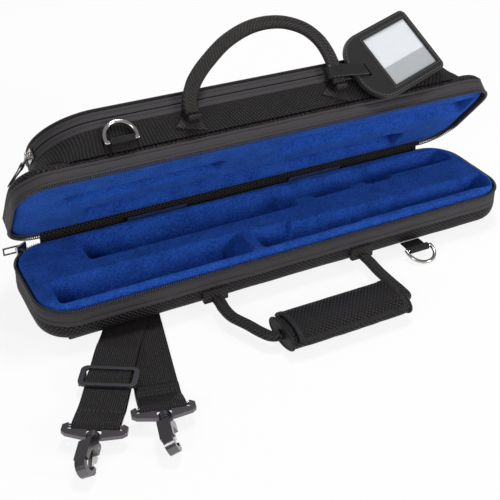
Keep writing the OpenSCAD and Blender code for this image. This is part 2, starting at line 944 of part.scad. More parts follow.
// Leather loop through the tag's slot and round the handle's right leg. It twists on its way,
// so each of its sections has its own slope.
loop_r = handle_t / 2 + fit + leather_t / 2;
loop_x0 = tag_leg[0] - handle_w / 2 - 1 + loop_r - leather_t;
loop_x1 = tag_x + slot_x * cos(tag_turn) - loop_r;
loop_z1 = tag_z + slot_x * sin(tag_turn);

function loop_path() = concat(
  [for (i = [0:3]) [loop_x0 + (loop_x1 - loop_x0) * i / 4, -loop_r, 0, -1]],
  [for (a = [-90:22.5:67.5]) [loop_x1 + loop_r * cos(a), loop_r * sin(a), cos(a), sin(a)]],
  [for (i = [4:-1:1]) [loop_x0 + (loop_x1 - loop_x0) * i / 4, loop_r, 0, 1]],
  [for (a = [90:22.5:247.5]) [loop_x0 + loop_r * cos(a), loop_r * sin(a), cos(a), sin(a)]]);

function loop_section(s) =
  let (f = min(max((s[0] - tag_leg[0]) / (loop_x1 + loop_r - tag_leg[0]), 0), 1),
       z = tag_leg[1] + (loop_z1 - tag_leg[1]) * f, turn = -8 + (tag_turn + 8) * f)
    [for (c = [[-1, -1], [1, -1], [1, 1], [-1, 1]])
      let (o = c[0] * leather_t / 2, v = c[1] * strap_half)
        [s[0] + s[2] * o - sin(turn) * v, z + cos(turn) * v, s[1] + s[3] * o]];

module tag_strap() {
  sections = [for (s = loop_path()) loop_section(s)];
  color(black)
    on_lid_front(0, tag_y, z_rim)
      polyhedron([for (s = sections, p = s) p], ring_faces(len(sections), 4));
}

// ---------- shoulder strap ----------

a_start = [-148, -38];
a_turn = 30.3; // direction of the left end, from -Y towards -X
a_len = 128.5;
b_start = [-128.6, 0];
b_turn = 13.9;
b_len = 156;
bar_z = 9.2;
bar_r = 1.5;
wrap_r = bar_r + fit + strap_t / 2;
row_front = -12;
row_back = 28;
row_left = -180;
turn_x = 174;
lap = 0.05; // layers that touch run this far into each other
glide_z = 6.6; // height of the strap's middle where it crosses the slide

// Side view of a strap end: along the ground, over the hook's bar and back underneath
function strap_end(route, len, tail) =
  concat(route, arc(len, bar_z, wrap_r, 105, -105, 14), tail);

module strap_run(start, turn, side_view) {
  translate([start[0], start[1], 0])
    rotate([0, 0, -90 - turn])
      rotate([90, 0, 0])
        linear_extrude(strap_w, center = true)
          polygon(side_view);
}

module strap_row(x0, x1, y0, y1, level) {
  translate([x0, y0, level * (strap_t - lap)])
    cube([x1 - x0, y1 - y0, strap_t + level * lap]);
}

module shoulder_strap() {
  h = strap_t / 2;
  w = strap_w / 2;
  low = h + 0.1;
  a_route = [[0, 3 * h - lap], [22, 3 * h - lap], [46, glide_z], [102, glide_z], [117, 9.2]];
  b_route = [[0, h], [118, h], [126, 3 * h + 0.2], [136, 3 * h + 0.2], [146, 7.4]];
  a_view = thick_line(strap_end(a_route, a_len, [[112, 3.6], [100, low], [66, low]]), strap_t);
  b_view = thick_line(strap_end(b_route, b_len, [[146, 3.4], [137, h], [128, h]]), strap_t);
  row_view = thick_line([[-18, 3 * h - lap], [20, 3 * h - lap], [26, h], [turn_x + w + 128, h]], strap_t);
  color(webbing) {
    strap_run(a_start, a_turn, a_view);
    strap_run(b_start, b_turn, b_view);
    translate([-128, row_front, 0])
      rotate([90, 0, 0])
        linear_extrude(strap_w, center = true)
          polygon(row_view);
    strap_row(row_left - w, row_left + w + 7, -26 - w, -26 + w, 0);
    strap_row(row_left - w, row_left + w, -26 - w, row_back + w, 1);
    strap_row(row_left - w, turn_x + w, row_back - w, row_back + w, 0);
    strap_row(turn_x - w, turn_x + w, row_front - w, row_back + w, 1);
  }
}

// ---------- strap slide and hooks ----------

glide_s = 78; // distance of the slide from the start of the left run
glide_w = strap_w + 10;
glide_l = 21;
glide_bar = 3;

module on_strap(start, turn, s, z) {
  translate([start[0], start[1], z])
    rotate([0, 0, -90 - turn])
      translate([s, 0, 0])
        children();
}

// The strap runs under both outer bars and over the middle bar
module tri_glide() {
  low = glide_z - strap_t / 2 - fit - 2;
  bottom = glide_z - strap_t / 2 - fit;
  top = glide_z + strap_t / 2 + fit;
  rail = (glide_w - strap_w) / 2 - 1;
  color(black)
    on_strap(a_start, a_turn, glide_s, 0) {
      translate([0, 0, top])
        linear_extrude(2.2)
          difference() {
            rrect(glide_l, glide_w, 5);
            rrect(glide_l - 2 * glide_bar, strap_w + 2, 2);
          }
      for (y = [-1, 1])
        translate([-glide_l / 2 + 5, y * (glide_w - rail) / 2 - rail / 2, low])
          cube([glide_l - 10, rail, top - low + eps]);
      translate([-glide_bar / 2, -strap_w / 2 - 2, low])
        cube([glide_bar, strap_w + 4, bottom - low]);
    }
}

hook_bar_w = 44;
frame_t = 3;
bar_front = 8.2;
boss_l = 4;
stud_r = 1.8;
stud_gap = 0.08;
stud_head = 1.6;
hook_roll = 115; // the hook's spine lies up and to the left
body_half = 4.7; // half the width of the hook's body

// Loop for the strap with the boss that the hook turns in. +x points away from the strap.
module hook_frame() {
  inner = strap_w / 2 + 2;
  outer = hook_bar_w / 2;
  rotate([90, 0, 0])
    cylinder(r = bar_r, h = hook_bar_w - 6, center = true, $fn = 24);
  difference() {
    union() {
      translate([0, 0, -frame_t / 2])
        linear_extrude(frame_t)
          difference() {
            polygon([[-1.5, -outer + 3], [0.5, -outer], [6, -outer], [bar_front + 0.4, -outer + 3],
                     [bar_front + 3.4, -6], [bar_front + 3.4, 6], [bar_front + 0.4, outer - 3],
                     [6, outer], [0.5, outer], [-1.5, outer - 3]]);
            translate([-2, -inner])
              square([bar_front - 2, 2 * inner]);
            translate([-2, -5])
              square([bar_front + 2, 10]);
          }
      translate([bar_front, 0, 0])
        rotate([0, 90, 0])
          cylinder(r = 4.6, h = boss_l);
    }
    translate([bar_front - 1, 0, 0])
      rotate([0, 90, 0])
        cylinder(r = stud_r + stud_gap, h = boss_l + 2);
  }
}

body_u = bar_front + boss_l + fit;
hook_u = 35; // centre of the hook's bow
bow_out = 7.4;
bow_in = 4;
bow_half = 3.6;
gate_pivot = [body_u + 6.4, -2.8];

// Shank, spine and bow, drawn in the plane x-y and turned on the stud
module hook_body() {
  translate([bar_front - fit - stud_head, 0, 0])
    rotate([0, 90, 0]) {
      cylinder(r = stud_r, h = body_u + 1 - bar_front + fit + stud_head);
      cylinder(r = 3, h = stud_head);
    }
  translate([body_u, 0, 0])
    rotate([0, 90, 0])
      cylinder(r = 4.4, h = 3);
  difference() {
    union() {
      translate([0, 0, -body_half])
        linear_extrude(2 * body_half)
          polygon([[body_u + 2, -4.2], [body_u + 4, -5], [body_u + 10.5, -5], [body_u + 11.5, 1],
                   [body_u + 13, 3.6], [hook_u, bow_in], [hook_u, bow_out], [body_u + 6, 7.2],
                   [body_u + 2, 4.4]]);
      translate([0, 0, -bow_half])
        linear_extrude(2 * bow_half)
          difference() {
            translate([hook_u, 0])
              circle(bow_out);
            translate([hook_u, 0])
              circle(bow_in);
            translate([hook_u - 20, -bow_out - 1])
              square([20, bow_out + 1]);
            translate([hook_u - 20, -1])
              square([20, bow_in + 1]);
          }
      translate([hook_u - 2, -bow_out + 0.6, -bow_half])
        cube([2.2, bow_out - bow_in - 0.6, 2 * bow_half]);
    }
    // fork that the gate turns in
    translate([body_u + 3.2, -6, -1.9])
      cube([8.5, 6.9, 3.8]);
    translate([gate_pivot[0], gate_pivot[1], -5])
      cylinder(r = 0.85, h = 10, $fn = 24);
  }
}

module hook_pin() {
  translate([gate_pivot[0], gate_pivot[1], -body_half])
    cylinder(r = 0.8, h = 2 * body_half, $fn = 24);
}

// Sprung gate: an eye on the pin and a flat arm that closes on the hook's nose
module hook_gate() {
  difference() {
    translate([0, 0, -1.6])
      linear_extrude(3.2) {
        translate(gate_pivot)
          circle(1.9);
        polygon([[gate_pivot[0] - 1, gate_pivot[1] - 1.7], [hook_u - 2.4, -6.6], [hook_u - 2.4, -4.4],
                 [gate_pivot[0] + 1, gate_pivot[1] + 1.6]]);
        translate([hook_u - 14, -8.2])
          square([5, 2.6]);
      }
    translate([gate_pivot[0], gate_pivot[1], -3])
      cylinder(r = 0.85, h = 6, $fn = 24);
  }
}

module on_hook(start, turn, s) {
  on_strap(start, turn, s, bar_z)
    children();
}

module turned_hook(start, turn, s) {
  on_hook(start, turn, s)
    rotate([hook_roll, 0, 0])
      children();
}

module left_frame() on_hook(a_start, a_turn, a_len) children();
module left_hook() turned_hook(a_start, a_turn, a_len) children();
module right_frame() on_hook(b_start, b_turn, b_len) children();
module right_hook() turned_hook(b_start, b_turn, b_len) children();

base_shell();
base_cover();
base_zip_tape();
base_zip_coil();
base_insert();
hinge_fabric();
hinge_tab_left();
hinge_tab_right();
base_ring_tab();
base_anchor_left();
base_anchor_right();
lid_shell();
lid_cover();
lid_zip_tape();
lid_zip_coil();
lid_insert();
lid_ring_tab();
lid_anchor_left();
lid_anchor_right();
pocket_gusset();
pocket_zip_lower();
pocket_zip_upper();
pocket_rim();
pocket_panel();
pocket_slider();
pocket_pull_ring();
pocket_pull_tab();
main_slider();
main_pull();
lid_handle();
lid_ring();
base_ring();
base_handle();
grip_pad();
grip_binding_left();
grip_binding_right();
grip_flap();
grip_flap_binding();
tag_strap();
tag_back();
tag_frame();
tag_window();
tag_card();
shoulder_strap();
tri_glide();
color(gunmetal) left_frame() hook_frame();  // hook_frame_left
color(gunmetal) left_hook() hook_body();  // hook_body_left
color(nickel) left_hook() hook_gate();  // hook_gate_left
color(nickel) left_hook() hook_pin();  // hook_pin_left
color(gunmetal) right_frame() hook_frame();  // hook_frame_right
color(gunmetal) right_hook() hook_body();  // hook_body_right
color(nickel) right_hook() hook_gate();  // hook_gate_right
color(nickel) right_hook() hook_pin();  // hook_pin_right
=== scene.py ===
"""Looks of a soft zip case for a flute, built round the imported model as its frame.

Sizes in this file are millimetres unless a name says otherwise; meshes are written in metres.
"""

import logging
import math
from dataclasses import dataclass
from enum import Enum
from typing import Any

import bmesh
import bpy
import numpy as np
from mathutils import Matrix, Vector


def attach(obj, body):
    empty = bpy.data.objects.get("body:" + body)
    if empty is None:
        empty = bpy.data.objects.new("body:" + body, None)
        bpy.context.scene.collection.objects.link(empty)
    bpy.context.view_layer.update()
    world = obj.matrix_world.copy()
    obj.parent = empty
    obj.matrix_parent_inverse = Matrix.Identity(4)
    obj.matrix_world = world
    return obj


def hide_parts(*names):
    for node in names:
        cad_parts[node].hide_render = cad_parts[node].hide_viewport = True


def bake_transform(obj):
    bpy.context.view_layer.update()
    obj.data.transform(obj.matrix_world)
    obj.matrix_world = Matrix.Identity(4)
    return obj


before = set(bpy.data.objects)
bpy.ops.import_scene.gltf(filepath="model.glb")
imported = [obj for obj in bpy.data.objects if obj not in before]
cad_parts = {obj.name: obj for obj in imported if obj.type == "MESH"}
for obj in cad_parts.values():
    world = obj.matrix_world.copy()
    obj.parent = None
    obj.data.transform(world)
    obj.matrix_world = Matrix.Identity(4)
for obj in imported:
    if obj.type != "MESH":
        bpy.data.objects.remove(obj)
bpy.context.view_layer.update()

log = logging.getLogger("flute_case")
MM = 0.001
TAU = 2 * math.pi
FIELD_STEP = 0.5  # spacing of a cushion's height field
STITCH_FACE = 1.72  # height of the tag's face over its middle, where its stitches lie
NO_EDGE = 180.0  # turn at which no edge of a mesh stays sharp
STITCH_EDGE = 60.0  # turn at which a stitch's edges stay sharp
Rgb = tuple[float, float, float]
Array = np.ndarray


# ---------- shader graph ----------


class Field:
    """An output socket of a shader graph that takes part in arithmetic."""

    def __init__(self, graph: "Graph", socket: Any) -> None:
        """Keeps the graph and the socket."""
        self.graph, self.socket = graph, socket

    def __add__(self, other: Any) -> "Field":
        """Sum."""
        return self.graph.math("ADD", self, other)

    def __sub__(self, other: Any) -> "Field":
        """Difference."""
        return self.graph.math("SUBTRACT", self, other)

    def __rsub__(self, other: Any) -> "Field":
        """Difference with the field second."""
        return self.graph.math("SUBTRACT", other, self)

    def __mul__(self, other: Any) -> "Field":
        """Product."""
        return self.graph.math("MULTIPLY", self, other)

    def __truediv__(self, other: Any) -> "Field":
        """Quotient."""
        return self.graph.math("DIVIDE", self, other)

    def __pow__(self, other: Any) -> "Field":
        """Power."""
        return self.graph.math("POWER", self, other)

    def __neg__(self) -> "Field":
        """Opposite."""
        return self * -1.0

    def __abs__(self) -> "Field":
        """Absolute value."""
        return self.graph.math("ABSOLUTE", self)

    __radd__, __rmul__ = __add__, __mul__


class Graph:
    """A material's nodes, written as expressions."""

    def __init__(self, name: str) -> None:
        """Makes an empty material with an output node."""
        self.material = bpy.data.materials.new(name)
        self.material.use_nodes = True
        self.nodes, self.links = self.material.node_tree.nodes, self.material.node_tree.links
        self.nodes.clear()
        self.output = self.nodes.new("ShaderNodeOutputMaterial")

    def node(self, kind: str, settings: dict[str, Any], inputs: dict[Any, Any], out: Any = 0) -> Field:
        """Adds any node.

        Args:
            kind: the node's type.
            settings: its own settings, set before its sockets.
            inputs: values or fields by socket name or number.
            out: the output socket that is returned.

        Returns:
            The chosen output as a field.
        """
        made = self.nodes.new(kind)
        for key, value in settings.items():
            setattr(made, key, value)
        for key, value in inputs.items():
            if isinstance(value, Field):
                self.links.new(value.socket, made.inputs[key])
            else:
                made.inputs[key].default_value = value
        return Field(self, made.outputs[out])

    def math(self, operation: str, *terms: Any) -> Field:
        """A Math node on one to three terms."""
        return self.node("ShaderNodeMath", {"operation": operation}, dict(enumerate(terms)))

    def sine(self, phase: Field) -> Field:
        """Sine from 0 to 1."""
        return self.math("SINE", phase) * 0.5 + 0.5

    def clamp(self, value: Field, low: float = 0.0, high: float = 1.0) -> Field:
        """The value kept between two limits."""
        return self.node("ShaderNodeClamp", {}, {0: value, 1: low, 2: high})

    def mix(self, factor: Any, first: Any, second: Any) -> Field:
        """Blend of two colours."""
        full = [(*c, 1.0) if isinstance(c, tuple) and len(c) == 3 else c for c in (first, second)]
        return self.node("ShaderNodeMix", {"data_type": "RGBA"}, {0: factor, 6: full[0], 7: full[1]}, 2)

    def place(self) -> Field:
        """Object coordinates in millimetres."""
        raw = self.node("ShaderNodeTexCoord", {}, {}, "Object")
        return self.node("ShaderNodeVectorMath", {"operation": "SCALE"}, {0: raw, "Scale": 1000.0})

    def cloth(self) -> Field:
        """The piece's own map, in millimetres along and across the cloth."""
        return self.node("ShaderNodeUVMap", {"uv_map": "cloth"}, {})

    def parts(self, vector: Field) -> tuple[Field, Field, Field]:
        """The three components of a vector."""
        split = self.nodes.new("ShaderNodeSeparateXYZ")
        self.links.new(vector.socket, split.inputs[0])
        return tuple(Field(self, s) for s in split.outputs)

    def noise(self, vector: Field, size: float, detail: float = 2.0, roughness: float = 0.5) -> Field:
        """Soft noise whose patches are about size millimetres across."""
        return self.node("ShaderNodeTexNoise", {}, {"Vector": vector, "Scale": 1 / size, "Detail": detail,
                                                    "Roughness": roughness}, "Fac")

    def cells(self, vector: Field, size: float) -> Field:
        """Distance to the nearest cell centre, in cells of size millimetres."""
        return self.node("ShaderNodeTexVoronoi", {}, {"Vector": vector, "Scale": 1 / size}, "Distance")

    def bump(self, height: Field, depth: float, strength: float = 1.0) -> Field:
        """Normal bent by a height of depth millimetres."""
        return self.node("ShaderNodeBump", {}, {"Height": height, "Distance": depth * MM, "Strength": strength})

    def surface(self, **sockets: Any) -> bpy.types.Material:
        """Ends the graph in a Principled shader.

        Args:
            sockets: values or fields by socket name, with _ for a space.

        Returns:
            The finished material.
        """
        inputs = {k.replace("_", " "): ((*v, 1.0) if isinstance(v, tuple) and len(v) == 3 else v)
                  for k, v in sockets.items()}
        shader = self.node("ShaderNodeBsdfPrincipled", {}, inputs)
        self.links.new(shader.socket, self.output.inputs["Surface"])
        return self.material


class Direction(Enum):
    """How the ribs of a webbing run."""

    LENGTHWISE = "lengthwise"
    SLANTED = "slanted"
    CROSSWISE = "crosswise"


@dataclass(frozen=True)
class Finish:
    """A finish made once and shared by the pieces that wear it."""

    name: str

    def material(self) -> bpy.types.Material:
        """The material, made at its first use."""
        return bpy.data.materials.get(self.name) or self.shade(Graph(self.name))

    def shade(self, g: Graph) -> bpy.types.Material:
        """Builds the graph."""
        raise NotImplementedError


@dataclass(frozen=True)
class NylonWeave(Finish):
    """Heavy black nylon with slanting rows of raised threads."""

    # dark is painted shade in the grooves; light is painted highlight on the thread tops
    dark: Rgb = (0.0025, 0.002, 0.0024)
    light: Rgb = (0.06, 0.05, 0.053)
    pitch: float = 2.5

    def shade(self, g: Graph) -> bpy.types.Material:
        """Threads are the product of two sine waves that cross at a slant, broken up by noise; the colour paints
        their tops lighter as painted highlight and their grooves near-black as painted shade.
        """
        cloth = g.cloth()
        u, v, _ = g.parts(cloth)
        rough = g.noise(cloth, 2.4, 3.0)
        row = g.sine((u * 0.8 + v * 0.6) * (TAU / self.pitch) + rough * 1.6)
        thread = g.sine((v * 0.8 - u * 0.6) * (TAU / self.pitch) + rough * 2.0)
        weave = row * thread
        # Broad noise that makes the painted highlight on the thread tops brighter or duller from patch to patch.
        wear = g.noise(g.place(), 26.0, 3.0)
        top = g.clamp(weave * 1.9 - 0.4 + (rough - 0.5) * 0.6)
        # Painted highlight on the thread tops and painted shade in the grooves, with random tone from the noise.
        color = g.mix(top, self.dark, g.mix(wear, (0.018, 0.015, 0.017), self.light))
        return g.surface(Base_Color=color, Roughness=0.6 - top * 0.2, Specular_IOR_Level=0.22,
                         Normal=g.bump(weave + rough * 0.4, 0.7, 0.9))


@dataclass(frozen=True)
class Webbing(Finish):
    """Black webbing with fine ribs."""

    direction: Direction = Direction.LENGTHWISE
    # dark is painted shade between the ribs; light is painted highlight on the rib tops
    dark: Rgb = (0.003, 0.0026, 0.003)
    light: Rgb = (0.03, 0.026, 0.026)
    pitch: float = 1.5

    def shade(self, g: Graph) -> bpy.types.Material:
        """Ribs are a sine wave across their direction, crossed by finer threads; the colour is painted lighter on the
        rib tops as painted highlight and darker between them as painted shade, with random tone from noise.
        """
        cloth = g.cloth()
        u, v, _ = g.parts(cloth)
        across, along = {
            Direction.LENGTHWISE: (v, u),
            Direction.SLANTED: (u * 0.72 + v * 0.7, v * 0.7 - u * 0.72),
            Direction.CROSSWISE: (u, v),
        }[self.direction]
        rough = g.noise(cloth, 2.0, 2.0)
        rib = g.sine(across * (TAU / self.pitch) + rough * 0.8)
        thread = g.sine(along * (TAU / 0.9) + rib * 3.0)
        height = rib * 0.8 + thread * 0.3
        # Painted highlight on the rib tops and painted shade between the ribs, with random tone from noise.
        color = g.mix(g.clamp(height * 0.8 + (rough - 0.5) * 0.7), self.dark, self.light)
        return g.surface(Base_Color=color, Roughness=0.55 - rib * 0.12, Specular_IOR_Level=0.22,
                         Normal=g.bump(height, 0.45, 0.85))


@dataclass(frozen=True)
class ZipTape(Finish):
    """Close-ribbed tape of the zips."""

    dark: Rgb = (0.005, 0.0043, 0.005)
    light: Rgb = (0.02, 0.0165, 0.0185)

    def shade(self, g: Graph) -> bpy.types.Material:
        """Fine ribs run across the tape, with a zigzag from a sine along it; the colour is painted lighter on the rib
        tops as painted highlight and darker between them as painted shade, with random tone from noise.
        """
        cloth = g.cloth()
        u, v, _ = g.parts(cloth)
        zigzag = g.sine(v * (TAU / 2.6)) * 0.9
        rib = g.sine((u + zigzag) * (TAU / 1.1))
        rough = g.noise(cloth, 6.0, 3.0)
        # Painted highlight on the rib tops and painted shade between the ribs, with random tone from noise.
        color = g.mix(g.clamp(rib * 0.55 + rough * 0.45), self.dark, self.light)
        return g.surface(Base_Color=color, Roughness=0.6 - rough * 0.15, Specular_IOR_Level=0.22,
                         Normal=g.bump(rib, 0.22, 0.6))


@dataclass(frozen=True)
class Coil(Finish):
    """Dark polyester of the zip's teeth, painted olive brown as a painted highlight."""

    def shade(self, g: Graph) -> bpy.types.Material:
        """Noise along the coil moves its colour between two olive browns at random; both are painted highlight, far
        lighter than the dark polyester.
        """
        tone = g.noise(g.place(), 5.0, 2.0)
        # Painted highlight on the teeth: both colours are much lighter than the coil's own dark polyester.
        color = g.mix(tone, (0.2, 0.18, 0.13), (0.5, 0.46, 0.36))
        return g.surface(Base_Color=color, Roughness=0.4 - tone * 0.14)


@dataclass(frozen=True)
class Plush(Finish):
    """Deep blue plush with a brushed nap."""

    deep: Rgb = (0.007, 0.03, 0.2)
    bright: Rgb = (0.028, 0.12, 0.56)

    def shade(self, g: Graph) -> bpy.types.Material:
        """Broad noise turns the nap from deep to bright, and fine noise raises its pile."""
        place = g.place()
        brushed = g.noise(place, 16.0, 3.0, 0.55)
        pile = g.noise(place, 1.5, 3.0, 0.75)
        tone = g.clamp((brushed - 0.5) * 0.9 + 0.45 + (pile - 0.5) * 2.2)
        return g.surface(Base_Color=g.mix(tone, self.deep, self.bright), Roughness=0.92,
                         Sheen_Weight=0.3, Sheen_Roughness=0.35, Sheen_Tint=(0.12, 0.35, 1.0, 1.0),
                         Specular_IOR_Level=0.05,
                         Normal=g.bump(pile + brushed * 0.3, 1.3, 0.9))


@dataclass(frozen=True)
class Lining(Finish):
    """Navy satin of the facings on the hinge."""

    def shade(self, g: Graph) -> bpy.types.Material:
        """Long soft streaks from stretched noise over a fine crosswise rib."""
        cloth = g.cloth()
        u, _, _ = g.parts(cloth)
        streak = g.noise(g.place(), 9.0, 2.0)
        rib = g.sine(u * (TAU / 0.8))
        color = g.mix(streak, (0.003, 0.008, 0.06), (0.009, 0.022, 0.14))
        return g.surface(Base_Color=color, Roughness=0.4 - streak * 0.1, Sheen_Weight=0.2,
                         Normal=g.bump(rib + streak * 3.0, 0.15, 0.5))


@dataclass(frozen=True)
class Metal(Finish):
    """Plated metal, bright or black."""

    color: Rgb = (0.62, 0.6, 0.575)
    worn: Rgb = (0.42, 0.405, 0.385)
    roughness: float = 0.12

    def shade(self, g: Graph) -> bpy.types.Material:
        """Fine scratches and a slight cloudiness from two sizes of noise."""
        place = g.place()
        cloud = g.noise(place, 7.0, 3.0)
        fine = g.noise(place, 0.6, 2.0)
        return g.surface(Base_Color=g.mix(cloud, self.color, self.worn), Metallic=1.0,
                         Roughness=self.roughness + cloud * 0.1, Normal=g.bump(fine, 0.01, 0.08))


@dataclass(frozen=True)
class Leather(Finish):
    """Black grained leather."""

    gloss: float = 0.3

    def shade(self, g: Graph) -> bpy.types.Material:
        """Grain is the distance to cell centres, darker in its valleys."""
        place = g.place()
        grain = g.cells(place, 1.1)
        soft = g.noise(place, 8.0, 3.0)
        color = g.mix(g.clamp(grain * 0.8 + (soft - 0.5) * 0.5), (0.017, 0.0155, 0.017), (0.006, 0.0055, 0.006))
        return g.surface(Base_Color=color, Roughness=self.gloss + soft * 0.14,
                         Normal=g.bump(-grain + soft * 0.5, 0.16, 0.7))


@dataclass(frozen=True)
class Card(Finish):
    """White paper card with a plain slate band along its lower edge."""

    def shade(self, g: Graph) -> bpy.types.Material:
        """The band is where the height on the card is under a fixed value."""
        cloth = g.cloth()
        _, v, _ = g.parts(cloth)
        fibre = g.noise(cloth, 1.2, 3.0)
        band = g.math("LESS_THAN", v, 17.0)
        paper = g.mix(fibre, (0.74, 0.75, 0.78), (0.86, 0.87, 0.89))
        ink = g.mix(fibre, (0.032, 0.038, 0.058), (0.045, 0.052, 0.078))
        return g.surface(Base_Color=g.mix(band, paper, ink), Roughness=0.7, Normal=g.bump(fibre, 0.03, 0.4))


@dataclass(frozen=True)
class ClearWindow(Finish):
    """Soft clear plastic over the card."""

    def shade(self, g: Graph) -> bpy.types.Material:
        """Nearly clear, with a faint ripple in its gloss."""
        ripple = g.noise(g.place(), 14.0, 2.0)
        return g.surface(Base_Color=(0.9, 0.92, 0.95), Alpha=0.04 + ripple * 0.04, Roughness=0.08,
                         Specular_IOR_Level=0.2, Normal=g.bump(ripple, 0.5, 0.4))


@dataclass(frozen=True)
class Plastic(Finish):
    """Moulded black plastic with rounded, slightly uneven gloss."""

    base: Rgb = (0.005, 0.005, 0.0055)
    roughness: float = 0.24

    def shade(self, g: Graph) -> bpy.types.Material:
        """Gloss varies with broad noise, with a faint moulded texture."""
        place = g.place()
        cloud = g.noise(place, 9.0, 3.0)
        fine = g.noise(place, 0.7, 2.0)
        lighter = tuple(c * 1.9 for c in self.base)
        return g.surface(Base_Color=g.mix(cloud, self.base, lighter), Roughness=self.roughness + cloud * 0.14,
                         Normal=g.bump(fine, 0.03, 0.35))


@dataclass(frozen=True)
class Board(Finish):
    """Pressed board of the moulded shells."""

    def shade(self, g: Graph) -> bpy.types.Material:
        """Fibres from fine noise on a dark ground."""
        fibre = g.noise(g.place(), 1.6, 4.0, 0.7)
        return g.surface(Base_Color=g.mix(fibre, (0.012, 0.012, 0.016), (0.03, 0.03, 0.038)), Roughness=0.85,
                         Normal=g.bump(fibre, 0.2, 0.6))


class Finishes:
    """Every finish of the case."""

    nylon = NylonWeave("nylon_weave")
    soft_nylon = NylonWeave("pocket_nylon", light=(0.05, 0.043, 0.047), pitch=2.2)
    strap = Webbing("strap_webbing")
    rope = Webbing("handle_webbing", direction=Direction.SLANTED, pitch=2.4, light=(0.04, 0.035, 0.033))
    binding = Webbing("ribbed_binding", direction=Direction.CROSSWISE, pitch=1.3, light=(0.034, 0.03, 0.03))
    tape = ZipTape("zip_tape")
    coil = Coil("zip_coil")
    plush = Plush("blue_plush")
    lining = Lining("navy_satin")
    nickel = Metal("nickel_plate")
    black_chrome = Metal("black_chrome", color=(0.06, 0.06, 0.064), worn=(0.03, 0.03, 0.033), roughness=0.06)
    leather = Leather("black_leather")
    loop_leather = Leather("loop_leather", gloss=0.2)
    card = Card("paper_card")
    window = ClearWindow("clear_window")
    plastic = Plastic("black_plastic")
    thread = Plastic("black_thread", base=(0.012, 0.011, 0.011), roughness=0.5)
    pale_thread = Plastic("waxed_thread", base=(0.07, 0.066, 0.064), roughness=0.4)
    board = Board("pressed_board")


# ---------- shapes ----------


def unit(v: Array) -> Array:
    """Vectors divided by their length."""
    return v / np.maximum(np.linalg.norm(v, axis=-1, keepdims=True), 1e-9)


def lengths(path: Array) -> Array:
    """Running length along a path of points."""
    return np.concatenate([[0.0], np.cumsum(np.linalg.norm(np.diff(path, axis=0), axis=-1))])


def smooth(points: Any, steps: int = 6) -> Array:
    """Catmull-Rom curve: between two points a cubic whose slopes are half the chords of their neighbours."""
    p = np.asarray(points, float)
    q = np.vstack([p[:1], p, p[-1:]])
    a, b, c, d = q[:-3, None], q[1:-2, None], q[2:-1, None], q[3:, None]
    t = (np.arange(steps) / steps)[None, :, None]
    curve = 0.5 * (2 * b + (c - a) * t + (2 * a - 5 * b + 4 * c - d) * t**2 + (3 * b - a - 3 * c + d) * t**3)
    return np.vstack([curve.reshape(-1, p.shape[1]), p[-1:]])


def resample(path: Array, spacing: float, *others: Array) -> tuple[Array, ...]:
    """The path, and arrays that go with it, at even spacing by linear interpolation on the running length."""
    s = lengths(path)
    at = np.linspace(0, s[-1], max(2, int(round(s[-1] / spacing)) + 1))
    return tuple(np.stack([np.interp(at, s, a[:, k]) for k in range(a.shape[1])], -1) for a in (path, *others))


def arc(centre: tuple[float, float], radius: float, start: float, end: float, steps: int = 12) -> Array:
    """Points at even angles on a circle, in degrees."""
    a = np.radians(np.linspace(start, end, steps + 1))
    return np.stack([centre[0] + radius * np.cos(a), centre[1] + radius * np.sin(a)], -1)


def wander(s: Array, wave: float, seed: float) -> Array:
    """A slow uneven wave from -1 to 1: the mean of three sines whose lengths don't divide each other."""
    return (np.sin(TAU * s / wave + seed) + np.sin(TAU * s / (wave * 0.62) + 2.3 * seed)
            + np.sin(TAU * s / (wave * 0.37) + 4.1 * seed)) / 3


@dataclass(frozen=True)
class Outline:
    """A rounded rectangle seen from above: points, outward directions and running length."""

    points: Array
    outward: Array

    @classmethod
    def rounded(cls, length: float, width: float, radius: float, arc_steps: int = 14,
                along: int = 90, across: int = 12) -> "Outline":
        """Four quarter circles joined by straights, from the right end's back corner.

        Args:
            length, width, radius: the rectangle's size.
            arc_steps, along, across: how many points its corners and straights get.

        Returns:
            The outline, anticlockwise.
        """
        cx, cy = length / 2 - radius, width / 2 - radius
        pts, out = [], []
        corners = ((1, 1, 0), (-1, 1, 90), (-1, -1, 180), (1, -1, 270))
        for k, (sx, sy, a0) in enumerate(corners):
            a = np.radians(a0 + np.linspace(0, 90, arc_steps + 1))
            n = np.stack([np.cos(a), np.sin(a)], -1)
            pts.append(np.array([sx * cx, sy * cy]) + radius * n)
            out.append(n)
            nx, ny, _ = corners[(k + 1) % 4]
            t = np.linspace(0, 1, (along if k % 2 == 0 else across) + 1)[1:-1, None]
            end = np.array([nx * cx, ny * cy]) + radius * n[-1]
            pts.append(pts[-1][-1] * (1 - t) + end * t)
            out.append(np.repeat(n[-1:], len(t), 0))
        return cls(np.vstack(pts), np.vstack(out))

    def without_back(self, arc_steps: int = 14, along: int = 90) -> "Outline":
        """The outline with its straight back left out, from the left back corner round the front."""
        skip = arc_steps + along
        pts, out = np.roll(self.points, -skip, 0), np.roll(self.outward, -skip, 0)
        keep = len(pts) - along + 1
        return Outline(pts[:keep], out[:keep])

    def at(self, out: Array, z: Array) -> Array:
        """Grid of the outline moved outwards by out, at height z: one row for each point of the outline."""
        xy = self.points[:, None] + self.outward[:, None] * np.asarray(out, float)[None, :, None]
        zz = np.broadcast_to(np.asarray(z, float)[None, :, None], (*xy.shape[:2], 1))
        return np.concatenate([xy, zz], -1)


